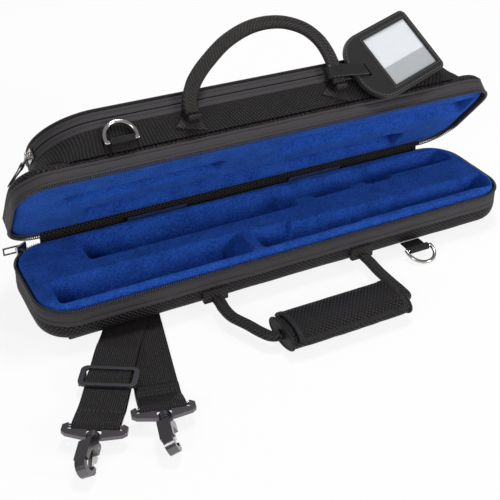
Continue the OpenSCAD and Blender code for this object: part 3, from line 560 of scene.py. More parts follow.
class Skin:
    """Patches gathered into one mesh, with a map in millimetres."""

    def __init__(self) -> None:
        """Starts empty."""
        self.points: list[Array] = []
        self.faces: list[list[int]] = []
        self.maps: list[Array] = []
        self.count = 0

    def grid(self, p: Array, loop_u: bool = False, loop_v: bool = False, caps: bool = False,
             swap: bool = False) -> "Skin":
        """Adds a grid of points as quads.

        Args:
            p: points, (n, m, 3).
            loop_u, loop_v: the last row or column joins the first.
            caps: the first and last rows are closed by a face each.
            swap: the map's two directions change places.

        Returns:
            This skin.
        """
        n, m = p.shape[:2]
        wu = np.concatenate([p, p[:1]]) if loop_u else p
        wv = np.concatenate([p, p[:, :1]], 1) if loop_v else p
        u = np.concatenate([[0], np.cumsum(np.linalg.norm(np.diff(wu, axis=0), axis=-1).mean(1))])
        v = np.concatenate([[0], np.cumsum(np.linalg.norm(np.diff(wv, axis=1), axis=-1).mean(0))])
        i = np.arange(n if loop_u else n - 1)[:, None]
        j = np.arange(m if loop_v else m - 1)[None, :]
        i2, j2 = (i + 1) % n, (j + 1) % m
        quads = np.stack(np.broadcast_arrays(i * m + j, i2 * m + j, i2 * m + j2, i * m + j2), -1).reshape(-1, 4)
        cu = np.stack(np.broadcast_arrays(u[i] + 0 * j, u[i + 1] + 0 * j, u[i + 1] + 0 * j, u[i] + 0 * j), -1)
        cv = np.stack(np.broadcast_arrays(v[j] + 0 * i, v[j] + 0 * i, v[j + 1] + 0 * i, v[j + 1] + 0 * i), -1)
        both = (cv, cu) if swap else (cu, cv)
        self.points.append(p.reshape(-1, 3))
        self.faces += (quads + self.count).tolist()
        self.maps.append(np.stack(both, -1).reshape(-1, 2))
        if caps:
            for row in (np.arange(m)[::-1], (n - 1) * m + np.arange(m)):
                ring = p.reshape(-1, 3)[row]
                wide = np.argsort(np.ptp(ring, axis=0))[::-1][:2]
                self.faces.append((row + self.count).tolist())
                self.maps.append(ring[:, np.sort(wide)])
        self.count += n * m
        return self

    def tube(self, p: Array) -> "Skin":
        """Adds a grid whose columns close into rings, with a cap at both ends."""
        return self.grid(p, loop_v=True, caps=True)

    def join(self, other: "Skin") -> None:
        """Takes over the patches of another skin."""
        self.points += other.points
        self.faces += [[k + self.count for k in face] for face in other.faces]
        self.maps += other.maps
        self.count += other.count

    def flat_map(self) -> "Skin":
        """Maps every corner by its first two coordinates, so that patches share one straight cloth."""
        corners = np.concatenate([np.asarray(f) for f in self.faces])
        self.maps = [np.vstack(self.points)[corners, :2]]
        return self

    def turn(self, change: Any) -> "Skin":
        """Changes every point by a function of an array."""
        self.points = [change(p) for p in self.points]
        return self

    def make(self, name: str, finish: Finish, sharp: float = 40.0) -> bpy.types.Object:
        """Writes the mesh.

        Args:
            name: the piece's name.
            finish: what it wears.
            sharp: edges that turn more than this many degrees stay sharp.

        Returns:
            The object, at the origin with its place in its mesh.
        """
        mesh = bpy.data.meshes.new(name)
        mesh.from_pydata(np.vstack(self.points) * MM, [], self.faces)
        layer = mesh.uv_layers.new(name="cloth")
        layer.data.foreach_set("uv", np.vstack(self.maps).astype(np.float32).ravel())
        return settle(mesh, name, finish, sharp)

    def wear(self, name: str, finish: Finish, body: str, slot: str, *nodes: str, sharp: float = 40.0
             ) -> bpy.types.Object:
        """Writes the mesh and places it.

        Args:
            name, finish, sharp: as in make.
            body, nodes: as in place; slot: not used.

        Returns:
            The placed object.
        """
        return place(self.make(name, finish, sharp), body, slot, *nodes)


def settle(mesh: bpy.types.Mesh, name: str, finish: Finish, sharp: float) -> bpy.types.Object:
    """Merges doubles, turns faces outwards, smooths and links a new mesh as an object."""
    work = bmesh.new()
    work.from_mesh(mesh)
    bmesh.ops.remove_doubles(work, verts=work.verts, dist=2e-6)
    bmesh.ops.recalc_face_normals(work, faces=work.faces)
    work.to_mesh(mesh)
    work.free()
    mesh.shade_smooth()
    mesh.set_sharp_from_angle(angle=math.radians(sharp))
    mesh.materials.append(finish.material())
    piece = bpy.data.objects.new(name, mesh)
    bpy.context.scene.collection.objects.link(piece)
    return piece


def place(piece: bpy.types.Object, body: str, slot: str, *nodes: str) -> bpy.types.Object:
    """Puts a piece on its body and hides the CAD nodes that it stands for."""
    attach(piece, body)
    if nodes:
        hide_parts(*nodes)
    log.info("%s rides on %s for %s", piece.name, body, ", ".join(nodes) or "no node")
    return piece


def frames(path: Array, side: Array) -> tuple[Array, Array, Array]:
    """Tangent, side and normal along a path: the side is made square to the tangent."""
    t = unit(np.gradient(path, axis=0))
    s = unit(side - (side * t).sum(-1, keepdims=True) * t)
    return t, s, np.cross(t, s)


def flat_section(width: float, thick: float, groove: float = 0.0) -> Array:
    """Section of a band: two half circles joined by flats whose middle sinks by groove."""
    r = thick / 2
    x = np.linspace(-1, 1, 13)[1:-1]
    half = width / 2 - r
    dip = r - groove * np.exp(-((x * 2.4) ** 2))
    return np.vstack([arc((half, 0), r, -90, 90, 8), np.stack([-x * half, dip], -1),
                      arc((-half, 0), r, 90, 270, 8), np.stack([x * half, -dip], -1)])


def sweep(path: Array, side: Array, section: Array, scale: Array | None = None, ends: bool = True) -> Array:
    """Carries a section along a path: point = path + side x first + normal x second.

    Args:
        path: points (n, 3).
        side: direction of the section's first axis, (3,) or (n, 3).
        section: points (m, 2), or (n, m, 2) where it changes.
        scale: factors (n, 2) on the section's axes.
        ends: a round end is added at both ends, thinning the section as a quarter circle does.

    Returns:
        The grid (n, m, 3).
    """
    t, s, b = frames(path, np.broadcast_to(side, path.shape))
    sec = np.broadcast_to(section, (len(path), *section.shape[-2:])).copy()
    if scale is not None:
        sec = sec * scale[:, None, :]
    p = path[:, None] + s[:, None] * sec[..., :1] + b[:, None] * sec[..., 1:]
    if not ends:
        return p
    r = np.abs(sec[..., 1]).max()
    a = np.radians([78, 55, 28])
    rings = [[path[k] + sign * t[k] * r * math.sin(x) + s[k] * sec[k, :, :1] * (1 - 0.06 * math.sin(x))
              + b[k] * sec[k, :, 1:] * math.cos(x) for x in angles]
             for k, sign, angles in ((0, -1, a), (-1, 1, a[::-1]))]
    return np.concatenate([np.array(rings[0]), p, np.array(rings[1])])


def capsules(path: Array, up: Array, length: float, pitch: float, radius: float, lift: float = 0.0) -> Skin:
    """A row of stitches: small capsules at even pitch, each turned along the path.

    Args:
        path: points (n, 3).
        up: directions (n, 3) that the stitches stand out in.
        length, pitch, radius: size of a stitch and the distance between stitches.
        lift: how far the row is moved along up.

    Returns:
        A skin of one closed capsule for each stitch, six sides by five rings.
    """
    at, normal = resample(path, pitch, np.broadcast_to(up, path.shape))
    t, n, b = frames(at, normal)
    at = at + n * lift
    ring = np.linspace(0, TAU, 7)[:-1]
    along = np.array([-0.5, -0.42, 0.0, 0.42, 0.5]) * length
    girth = np.array([0.15, 0.75, 1.0, 0.75, 0.15]) * radius
    offset = (t[:, None, None] * along[:, None, None]
              + n[:, None, None] * (girth[:, None, None] * np.sin(ring)[:, None])
              + b[:, None, None] * (girth[:, None, None] * np.cos(ring)[:, None] * 1.2))
    skin = Skin()
    pts = (at[:, None, None] + offset).reshape(-1, 3)
    one = Skin().tube(offset[0])
    step = np.arange(len(at)) * 30
    skin.points, skin.count = [pts], len(pts)
    skin.faces = [[k + s for k in face] for s in step.tolist() for face in one.faces]
    skin.maps = [np.tile(np.vstack(one.maps), (len(at), 1))]
    return skin


def helix(path: Array, first: Array, second: Array, radius: float, wire: float, pitch: float) -> Array:
    """A coil of wire round a path: the wire's middle turns at radius, once in each pitch.

    Args:
        path: points (n, 3).
        first, second: directions (n, 3) square to the path that the turn starts in and goes to.
        radius, wire, pitch: size of the coil, half the wire's thickness and the length of a turn.

    Returns:
        The grid (n, 5, 3) of a closed tube's sides.
    """
    p, a, b = resample(path, pitch / 9, first, second)
    turn = np.arange(len(p)) * TAU / 9
    out = a * np.cos(turn)[:, None] + b * np.sin(turn)[:, None]
    t = unit(np.gradient(p, axis=0))
    ring = np.linspace(0, TAU, 6)[:-1]
    return (p[:, None] + out[:, None] * (radius + wire * np.cos(ring))[:, None]
            + t[:, None] * (wire * 1.2 * np.sin(ring))[:, None])


def blurred(field: Array, sigma: float) -> Array:
    """Gaussian blur: the weighted mean of shifted copies, first along one axis and then the other."""
    reach = int(math.ceil(3 * sigma))
    weight = np.exp(-0.5 * (np.arange(-reach, reach + 1) / sigma) ** 2)
    weight /= weight.sum()
    for axis in (0, 1):
        pad = [(reach, reach) if k == axis else (0, 0) for k in (0, 1)]
        wide = np.pad(field, pad, mode="edge")
        n = field.shape[axis]
        field = sum(w * np.take(wide, np.arange(k, k + n), axis) for k, w in enumerate(weight))
    return field


def refined(node: str, name: str, finish: Finish, bevel: float = 0.35, sharp: float = 35.0) -> bpy.types.Object:
    """A merged copy of a hard node with its flat faces joined and its edges rounded by a Bevel.

    Args:
        node: the CAD node.
        name: the piece's name.
        finish: what it wears.
        bevel: width of the rounded edge.
        sharp: edges that turn more than this many degrees are rounded.

    Returns:
        The piece, not yet on a body.
    """
    work = bmesh.new()
    work.from_mesh(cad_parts[node].data)
    bmesh.ops.remove_doubles(work, verts=work.verts, dist=1e-5)
    bmesh.ops.dissolve_limit(work, angle_limit=math.radians(0.6), verts=work.verts, edges=work.edges)
    bmesh.ops.recalc_face_normals(work, faces=work.faces)
    mesh = bpy.data.meshes.new(name)
    work.to_mesh(mesh)
    work.free()
    piece = settle(mesh, name, finish, sharp)
    edge = piece.modifiers.new("rounded_edges", "BEVEL")
    edge.width, edge.segments, edge.limit_method = bevel * MM, 3, "ANGLE"
    edge.angle_limit, edge.use_clamp_overlap = math.radians(sharp), True
    edge.harden_normals = True
    return piece


# ---------- the case ----------


@dataclass(frozen=True)
class CaseShape:
    """Sizes that the pieces share; heights are above the ground with the lid shut."""

    length: float = 430.0
    width: float = 102.0
    corner: float = 29.0
    lift: float = 3.0
    rim: float = 31.0
    band: float = 14.0
    lid_rim: float = 32.2
    lid_top: float = 52.0
    edge: float = 8.0
    lid_edge: float = 6.5
    hinge_y: float = 54.0
    hinge_z: float = 39.0
    open_angle: float = 51.3

    def outline(self) -> Outline:
        """The case seen from above."""
        return Outline.rounded(self.length, self.width, self.corner)

    def opened(self, p: Array) -> Array:
        """Turns points of the shut lid about the hinge line by the open angle."""
        a = math.radians(self.open_angle)
        y, z = p[..., 1] - self.hinge_y, p[..., 2] - self.hinge_z
        return np.stack([p[..., 0], self.hinge_y + y * math.cos(a) + z * math.sin(a),
                         self.hinge_z - y * math.sin(a) + z * math.cos(a)], -1)

    def still(self, p: Array) -> Array:
        """Leaves points of the base as they are."""
        return p


SHAPE = CaseShape()


@dataclass(frozen=True)
class Cut:
    """A trough or a well pressed into a cushion; depths go down from the cushion's face."""

    x0: float
    x1: float
    y: float
    half: float
    depth: float
    axis: float | None = None  # depth of the trough's middle line, or none for a flat floor


@dataclass(frozen=True)
class Cushion:
    """A fitted cushion: a height field over a rounded rectangle with soft edges and closed sides."""

    face: float
    back: float
    cuts: tuple[Cut, ...]
    length: float = 423.4
    width: float = 95.6
    corner: float = 25.7
    soft_edge: float = 4.0
    blur: float = 1.15
    shift: float = 0.0

    def field(self) -> tuple[Array, Array, Array]:
        """Depth of the face on a half-millimetre grid: the deepest cut at each place, then blurred."""
        x = np.arange(-self.length / 2 - 3, self.length / 2 + 3, FIELD_STEP)
        y = np.arange(-self.width / 2 - 3, self.width / 2 + 3, FIELD_STEP)
        gx, gy = np.meshgrid(x, y, indexing="ij")
        depth = np.zeros_like(gx)
        for c in self.cuts:
            inside = (gx > c.x0) & (gx < c.x1) & (np.abs(gy - c.y) < c.half)
            if c.axis is None:
                d = np.full_like(gx, c.depth)
            else:
                r = c.depth - c.axis
                d = c.axis + np.sqrt(np.maximum(r * r - (gy - c.y) ** 2, 0))
            depth = np.where(inside, np.maximum(depth, d), depth)
        sag = 0.5 * (wander(gx + 0.6 * gy, 61.0, 1.3) + wander(gy - 0.4 * gx, 43.0, 2.1))
        return x, y, blurred(depth, self.blur / FIELD_STEP) + 0.35 * sag

    def build(self, name: str, change: Any) -> bpy.types.Object:
        """Makes the cushion.

        The face is a grid of columns across the case, as long as the outline is wide there; its edge
        falls away as a quarter circle, and rings close the sides and the back.

        Args:
            name: the piece's name.
            change: puts the points in place, for the lid's cushion.

        Returns:
            The piece, not yet on a body.
        """
        up = 1.0 if self.face > self.back else -1.0
        hl, hw, r = self.length / 2, self.width / 2, self.corner
        a = np.linspace(-90, 0, 22)
        left = -(hl - r) + r * np.sin(np.radians(a))
        x = np.concatenate([left[:-1], np.linspace(-(hl - r), hl - r, 470), -left[::-1][1:]])
        beyond = np.maximum(np.abs(x) - (hl - r), 0)
        half = hw - r + np.sqrt(np.maximum(r * r - beyond**2, 0))
        v = np.sin(np.linspace(-1, 1, 117) * math.pi / 2 * 0.93) / math.sin(math.pi / 2 * 0.93)
        v = 0.55 * np.linspace(-1, 1, 117) + 0.45 * v
        px, py = np.repeat(x[:, None], len(v), 1), half[:, None] * v[None, :]
        fx, fy, depth = self.field()
        ix, iy = (px - fx[0]) / FIELD_STEP, (py - fy[0]) / FIELD_STEP
        i0, j0 = np.clip(ix.astype(int), 0, len(fx) - 2), np.clip(iy.astype(int), 0, len(fy) - 2)
        tx, ty = ix - i0, iy - j0
        d = ((depth[i0, j0] * (1 - tx) + depth[i0 + 1, j0] * tx) * (1 - ty)
             + (depth[i0, j0 + 1] * (1 - tx) + depth[i0 + 1, j0 + 1] * tx) * ty)
        qx, qy = np.maximum(np.abs(px) - (hl - r), 0), np.maximum(np.abs(py) - (hw - r), 0)
        rim = np.where((qx > 0) & (qy > 0), r - np.hypot(qx, qy), np.minimum(hl - np.abs(px), hw - np.abs(py)))
        e = self.soft_edge
        fall = e - np.sqrt(np.maximum(e * e - np.maximum(e - np.maximum(rim, 0), 0) ** 2, 0))
        top = np.stack([px, py, self.face - up * np.maximum(d, fall)], -1)
        edge = np.concatenate([top[:-1, 0], top[-1, :-1], top[:0:-1, -1], top[0, :0:-1]])
        inner = edge[:, :2] * (1 - 2.0 / np.linalg.norm(edge[:, :2], axis=-1, keepdims=True))
        rings = [edge]
        for share in (0.3, 0.6, 0.85):
            ring = edge.copy()
            ring[:, 2] = edge[:, 2] * (1 - share) + (self.back + up * 1.5) * share
            rings.append(ring)
        rings.append(np.column_stack([inner, np.full(len(edge), self.back)]))
        top[..., 1] += self.shift
        for ring in rings[1:]:
            ring[:, 1] += self.shift
        rings[0] = edge + np.array([0, self.shift, 0])
        skin = Skin().grid(top)
        skirt = np.array(rings)
        skin.grid(skirt, loop_v=True)
        skin.faces.append((skin.count - len(edge) + np.arange(len(edge))).tolist())
        skin.maps.append(rings[-1][:, :2])
        return skin.turn(change).make(name, Finishes.plush, NO_EDGE)


class TrayHalf:
    """One half of the case: fabric skin, zip tape with its coil, shell and cushion."""

    def __init__(self, shape: CaseShape, body: str, lid: bool) -> None:
        """Keeps the half's body and whether it is the lid."""
        self.shape, self.body, self.lid = shape, body, lid
        self.change = shape.opened if lid else shape.still

    def profile(self, out: float, thick: float) -> Array:
        """Section of the fabric from the band's edge over the rounded edge to the floor, as (outward, height)."""
        s = self.shape
        e = (s.lid_edge if self.lid else s.edge)
        start = s.lid_rim + s.band - 1.2 if self.lid else s.rim - s.band
        end = s.lid_top if self.lid else s.lift
        up = 1 if end > start else -1
        outer = arc((-e + out, 0), e, 0, 90, 8)
        inner = arc((-e + out, 0), e - thick, 90, 0, 8)

        def line(q: Array) -> Array:
            """Turns an arc about the edge's centre into heights."""
            return np.stack([q[:, 0], end - up * (e - q[:, 1])], -1)

        puff = 0.35
        wall = np.array([[out, start], [out + puff, start + up * 1.5], [out + puff * 0.6, end - up * e]])
        back = np.array([[out - thick, start]])
        return np.vstack([wall, line(outer)[1:], [[-e - 2.0, end]], [[-e - 2.0, end - up * thick]],
                          line(inner)[:-1], back])

    def cover(self) -> None:
        """The fabric: its section carried round the case, its floor closed by a slightly uneven plate."""
        s = self.shape
        o = s.outline()
        sec = self.profile(0.0, 1.0)
        skin = Skin()
        grid = o.at(sec[:, 0], sec[:, 1])
        run = lengths(o.points)
        wave = 0.35 * wander(run, 97.0, 0.7)
        grid[:, 2:10, :2] += (o.outward * wave[:, None])[:, None]
        skin.grid(grid, loop_u=True, loop_v=True)
        end = s.lid_top if self.lid else s.lift
        e = (s.lid_edge if self.lid else s.edge) + 2.0
        plate = o.at([-e, -e], [end, end + (-1.0 if self.lid else 1.0)]).transpose(1, 0, 2)
        skin.tube(plate)
        z0, z1 = (s.lid_rim, s.lid_rim + s.band - 1.2) if self.lid else (s.rim - s.band, s.rim)
        x = np.linspace(-186, 186, 125)
        path = np.stack([x, np.full_like(x, s.width / 2 - 0.5), np.full_like(x, (z0 + z1) / 2)], -1)
        skin.tube(sweep(path, np.array([0, 0, 1.0]), flat_section(z1 - z0, 1.0), ends=False))
        skin.turn(self.change)
        part = "lid" if self.lid else "base"
        skin.wear(f"{part}_fabric", Finishes.nylon, self.body, "nylon", f"{part}_cover")

    def tape(self) -> None:
        """The zip tape: a flat band with two seam grooves, its coil, and a row of stitches in each groove."""
        s = self.shape
        o = s.outline().without_back()
        part = "lid" if self.lid else "base"
        up = 1 if self.lid else -1
        z0 = s.lid_rim if self.lid else s.rim
        span = s.band - (1.2 if self.lid else 0.0)
        t = np.array([2.2, 2.5, 3.0, 3.7, 4.2, 4.8, 6.5, 8.6, 9.6, 10.3, 10.9, 11.6, span - 0.4, span])
        relief = np.array([-0.45, 0.0, 0.1, 0.0, -0.45, 0.0, 0.2, 0.2, 0.05, -0.5, 0.1, 0.35, 0.3, -0.1])
        sec = np.vstack([np.stack([relief, z0 + up * t], -1), np.stack([relief[::-1] - 0.9, z0 + up * t[::-1]], -1)])
        grid = o.at(sec[:, 0], sec[:, 1])
        run = lengths(o.points)
        grid[..., :2] += (o.outward * (0.25 * wander(run, 71.0, 2.2))[:, None])[:, None]
        skin = Skin().tube(grid).turn(self.change)
        skin.wear(f"{part}_zip_band", Finishes.tape, self.body, "zip_tape", f"{part}_zip_tape")
        line = o.at([-0.75], [z0 + up * 1.15])[:, 0]
        out = np.column_stack([o.outward, np.zeros(len(line))])
        rise = np.broadcast_to([0, 0, 1.0], out.shape)
        coil = Skin().tube(helix(line, out, rise, 1.0, 0.5, 1.9)).turn(self.change)
        coil.wear(f"{part}_zip_teeth", Finishes.coil, self.body, "zip_coil", f"{part}_zip_coil", sharp=NO_EDGE)
        for k, depth in enumerate((4.2, 10.3)):
            seam = o.at([-0.3], [z0 + up * depth])[:, 0]
            rows = capsules(seam, out, 2.2, 3.1, 0.32, 0.1).turn(self.change)
            rows.wear(f"{part}_band_stitches_{k + 1}", Finishes.thread, self.body, "zip_tape", sharp=STITCH_EDGE)

    def shell(self) -> None:
        """The moulded shell keeps its CAD shape and wears pressed board."""
        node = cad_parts["lid_shell" if self.lid else "base_shell"]
        node.data.materials.clear()
        node.data.materials.append(Finishes.board.material())

    def cushion(self, cushion: Cushion) -> None:
        """The plush cushion."""
        part = "lid" if self.lid else "base"
        piece = cushion.build(f"{part}_cushion", self.change)
        place(piece, self.body, "plush", f"{part}_insert")

    def build(self, cushion: Cushion) -> None:
        """Makes every piece of the half."""
        self.cover()
        self.tape()
        self.shell()
        self.cushion(cushion)


BASE_CUSHION = Cushion(face=34.0, back=7.2, cuts=(
    Cut(-197, -40, -26, 13.5, 20.5, 7.0), Cut(-197, -182, -26, 11.5, 22.0), Cut(-52, -40, -26, 13.5, 22.0),
    Cut(-27, 6, -27, 12.0, 19.0, 7.0), Cut(-17, 63, -29, 10.0, 17.0, 7.0), Cut(62, 203, -29, 8.5, 15.5, 7.0),
    Cut(189, 204, -29, 9.0, 22.0), Cut(-158, 28, 23, 16.0, 23.0, 7.0), Cut(-158, -143, 23, 13.0, 23.5),
    Cut(27, 199, 27, 10.0, 17.0, 7.0), Cut(184, 199, 27, 9.0, 22.0),
    Cut(49, 85, 19.5, 7.5, 11.0), Cut(104, 128, 19.5, 7.5, 11.0)))
LID_CUSHION = Cushion(face=35.5, back=47.7, blur=1.3, width=96.8, shift=0.9, soft_edge=3.2, cuts=(
    Cut(-173, -42, -8.5, 7.4, 10.3, 2.4), Cut(13, 203, -16, 14.0, 10.3, -4.4),
    Cut(-152, 150, 28, 12.0, 10.3, -1.9), Cut(117, 138, 20, 5.0, 5.0)))


@dataclass(frozen=True)
class BackHinge:
    """The cloth strip along the back and its two facings."""

    half: float = 186.0
    route: tuple[tuple[float, float], ...] = ((51.6, 22), (51.6, 26), (51.7, 31), (52.0, 34.5), (53.7, 41.8),
                                              (56.2, 43.9), (58.7, 45.9))
    tabs: tuple[tuple[str, float, float], ...] = (("left", -111.0, 54.0), ("right", 44.0, 54.0))

    def cloth(self) -> None:
        """A strip that goes up the back and over into the lid, with slow waves between its two edges."""
        r = smooth(self.route, 5)
        x = np.linspace(-self.half, self.half, 220)
        share = lengths(r) / lengths(r)[-1]
        free = np.sin(np.pi * share) ** 1.5
        wave = wander(x, 58.0, 1.1)[:, None] * free[None, :] * 1.1
        mid = np.stack(np.broadcast_arrays(x[:, None], r[None, :, 0] - 0.15 + 0 * wave, r[None, :, 1]), -1)
        t = unit(np.gradient(r, axis=0))
        normal = np.stack([0 * t[:, 0], t[:, 1], -t[:, 0]], -1)
        mid = mid + normal[None] * wave[..., None]
        ring = np.concatenate([mid + normal[None] * 0.38, (mid - normal[None] * 0.38)[:, ::-1]], 1)
        piece = Skin().tube(ring).make("hinge_cloth", Finishes.soft_nylon)
        self.bend(piece, "hinge_fabric")

    def facing(self, side: str, x0: float, span: float) -> None:
        """A satin facing inside the hinge, bowed a little at its middle."""
        r = smooth([(49.3, 25.3), (49.3, 28.0), (49.3, 31.5), (48.1, 35.4)], 5)
        x = np.linspace(x0, x0 + span, 40)
        bow = 0.3 * wander(x, 31.0, x0 * 0.1)
        path = np.stack([0 * r[:, 0], r[:, 0], r[:, 1]], -1)
        t = unit(np.gradient(path, axis=0))
        normal = np.cross([1.0, 0, 0], t)
        mid = path[None] + np.array([1.0, 0, 0]) * x[:, None, None] - normal[None] * bow[:, None, None]
        ring = np.concatenate([mid + normal * 0.3, (mid - normal * 0.3)[:, ::-1]], 1)
        piece = Skin().tube(ring).make(f"hinge_facing_{side}", Finishes.lining)
        self.bend(piece, f"hinge_tab_{side}")

    def bend(self, piece: bpy.types.Object, node: str) -> None:
        """Bakes the piece's place into its mesh and hides the node that it stands for."""
        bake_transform(piece)
        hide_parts(node)
        log.info("%s bends between base and lid for %s", piece.name, node)

    def build(self) -> None:
        """Makes the strip and its facings."""
        self.cloth()
        for side, x0, span in self.tabs:
            self.facing(side, x0, span)


@dataclass(frozen=True)
class Pocket:
    """The zipped pocket on the lid, built shut and turned open with the lid."""

    length: float = 374.0
    width: float = 104.4
    corner: float = 46.0
    foot_inset: float = 18.0
    inset: float = 28.0
    foot_corner: float = 34.0
    tape_low: float = 69.4
    tape_high: float = 76.6
    tape: float = 6.0
    rim_top: float = 85.0

    def wall(self) -> None:
        """The gusset: its outline shrinks from foot to zip, and it bulges as half a sine in between."""
        rows = []
        for depth in (0.0, 1.0):
            level = []
            for t in np.linspace(0, 1, 9):
                side = self.foot_inset + (self.inset - self.foot_inset) * t
                r = self.foot_corner + (self.corner - self.foot_corner) * t
                o = Outline.rounded(430 - 2 * side - 2 * depth, self.width - 2 * depth, r - depth)
                run = lengths(o.points)
                puff = (0.5 + 0.7 * wander(run, 83.0, 3.1)) * math.sin(math.pi * t) ** 0.8
                xy = o.points + o.outward * puff[:, None]
                foot = np.maximum(self.lid_height(o.points), 47.5) + 0.6
                level.append(np.column_stack([xy, foot + (self.tape_low - foot) * t]))
            rows.append(level)
        grid = np.array(rows[0] + rows[1][::-1])
        skin = Skin().grid(grid, loop_u=True, loop_v=True, swap=True).turn(SHAPE.opened)
        skin.wear("pocket_wall", Finishes.soft_nylon, "lid", "nylon", "pocket_gusset")

    def lid_height(self, p: Array) -> Array:
        """Height of the lid's rounded top: the edge's quarter circle by distance from the case's outline."""
        q = np.abs(p) - np.array([186.0, 22.0])
        out = np.hypot(np.maximum(q[:, 0], 0), np.maximum(q[:, 1], 0)) + np.minimum(q.max(1), 0) - 29.0
        d = np.clip(-out, 0, 6.5)
        return 52.0 - 6.5 + np.sqrt(6.5**2 - (6.5 - d) ** 2)

    def zip_half(self, part: str, z: float, coil_z: float, body: str) -> None:
        """A tape with a soft groove, and the coil inside its edge."""
        o = Outline.rounded(self.length, self.width, self.corner)
        t = np.array([0, 0.5, 1.6, 2.8, 3.4, 4.0, 5.2, 5.6, 6.0]) / 6.0 * self.tape
        relief = np.array([0.0, 0.15, 0.2, 0.05, -0.2, 0.05, 0.2, 0.15, 0.0])
        sec = np.vstack([np.stack([relief, z + t], -1), np.stack([relief[::-1] - 0.95, z + t[::-1]], -1)])
        skin = Skin().grid(o.at(sec[:, 0], sec[:, 1]), loop_u=True, loop_v=True).turn(SHAPE.opened)
        skin.wear(f"pocket_tape_{part}", Finishes.tape, body, "zip_tape", f"pocket_zip_{part}")
        c = o.without_back()
        line = c.at([-0.7], [coil_z])[:, 0]
        out = np.column_stack([c.outward, np.zeros(len(line))])
        rise = np.broadcast_to([0, 0, 1.0], out.shape)
        coil = Skin().tube(helix(line, out, rise, 0.6, 0.34, 1.7)).turn(SHAPE.opened)
        coil.wear(f"pocket_teeth_{part}", Finishes.coil, body, "zip_tape", sharp=NO_EDGE)
        seam = c.at([-0.1], [z + 3.4])[:, 0]
        rows = capsules(seam, out, 2.0, 3.0, 0.28, 0.1).turn(SHAPE.opened)
        rows.wear(f"pocket_stitches_{part}", Finishes.thread, body, "zip_tape", sharp=STITCH_EDGE)

    def panel(self) -> None:
        """The front panel: a crowned sheet inside a corded edge on a narrow rim."""
        o = Outline.rounded(self.length, self.width, self.corner)
        a = np.radians(np.linspace(-90, 270, 17)[:-1])
        cord = np.stack([1.15 * np.cos(a) - 0.1, self.rim_top - 0.8 + 1.15 * np.sin(a)], -1)
        sec = np.array([[0.0, 82.6], [0.2, 83.0], [0.0, 83.3], [-0.95, 83.3], [-0.95, 82.6]])
        skin = Skin().grid(o.at(cord[:, 0], cord[:, 1]), loop_u=True, loop_v=True)
        skin.grid(o.at(sec[:, 0], sec[:, 1]), loop_u=True, loop_v=True).turn(SHAPE.opened)
        skin.wear("pocket_cord", Finishes.binding, "pocket_flap", "nylon", "pocket_rim")
        inset = np.array([42.0, 34.0, 24.0, 16.0, 10.0, 6.0, 3.0, 1.3])
        crown = 0.9 * np.sin(np.clip(inset / 40, 0, 1) * math.pi / 2)
        top = o.at(-inset, self.rim_top - 0.5 + crown)
        run = lengths(o.points)
        top[..., 2] += 0.5 * wander(run, 120.0, 0.4)[:, None] * np.sin(np.clip(inset / 42, 0, 1) * math.pi)[None]
        low = o.at(-inset[::-1], np.full(len(inset), self.rim_top - 1.6))
        sheet = Skin().grid(np.concatenate([top, low], 1).transpose(1, 0, 2), loop_v=True, caps=True, swap=True)
        sheet.flat_map().turn(SHAPE.opened)
        sheet.wear("pocket_front", Finishes.nylon, "pocket_flap", "nylon", "pocket_panel")

    def build(self) -> None:
        """Makes the pocket."""
        self.wall()
        self.zip_half("lower", self.tape_low, 75.0, "lid")
        self.zip_half("upper", self.tape_high, 77.0, "pocket_flap")
        self.panel()


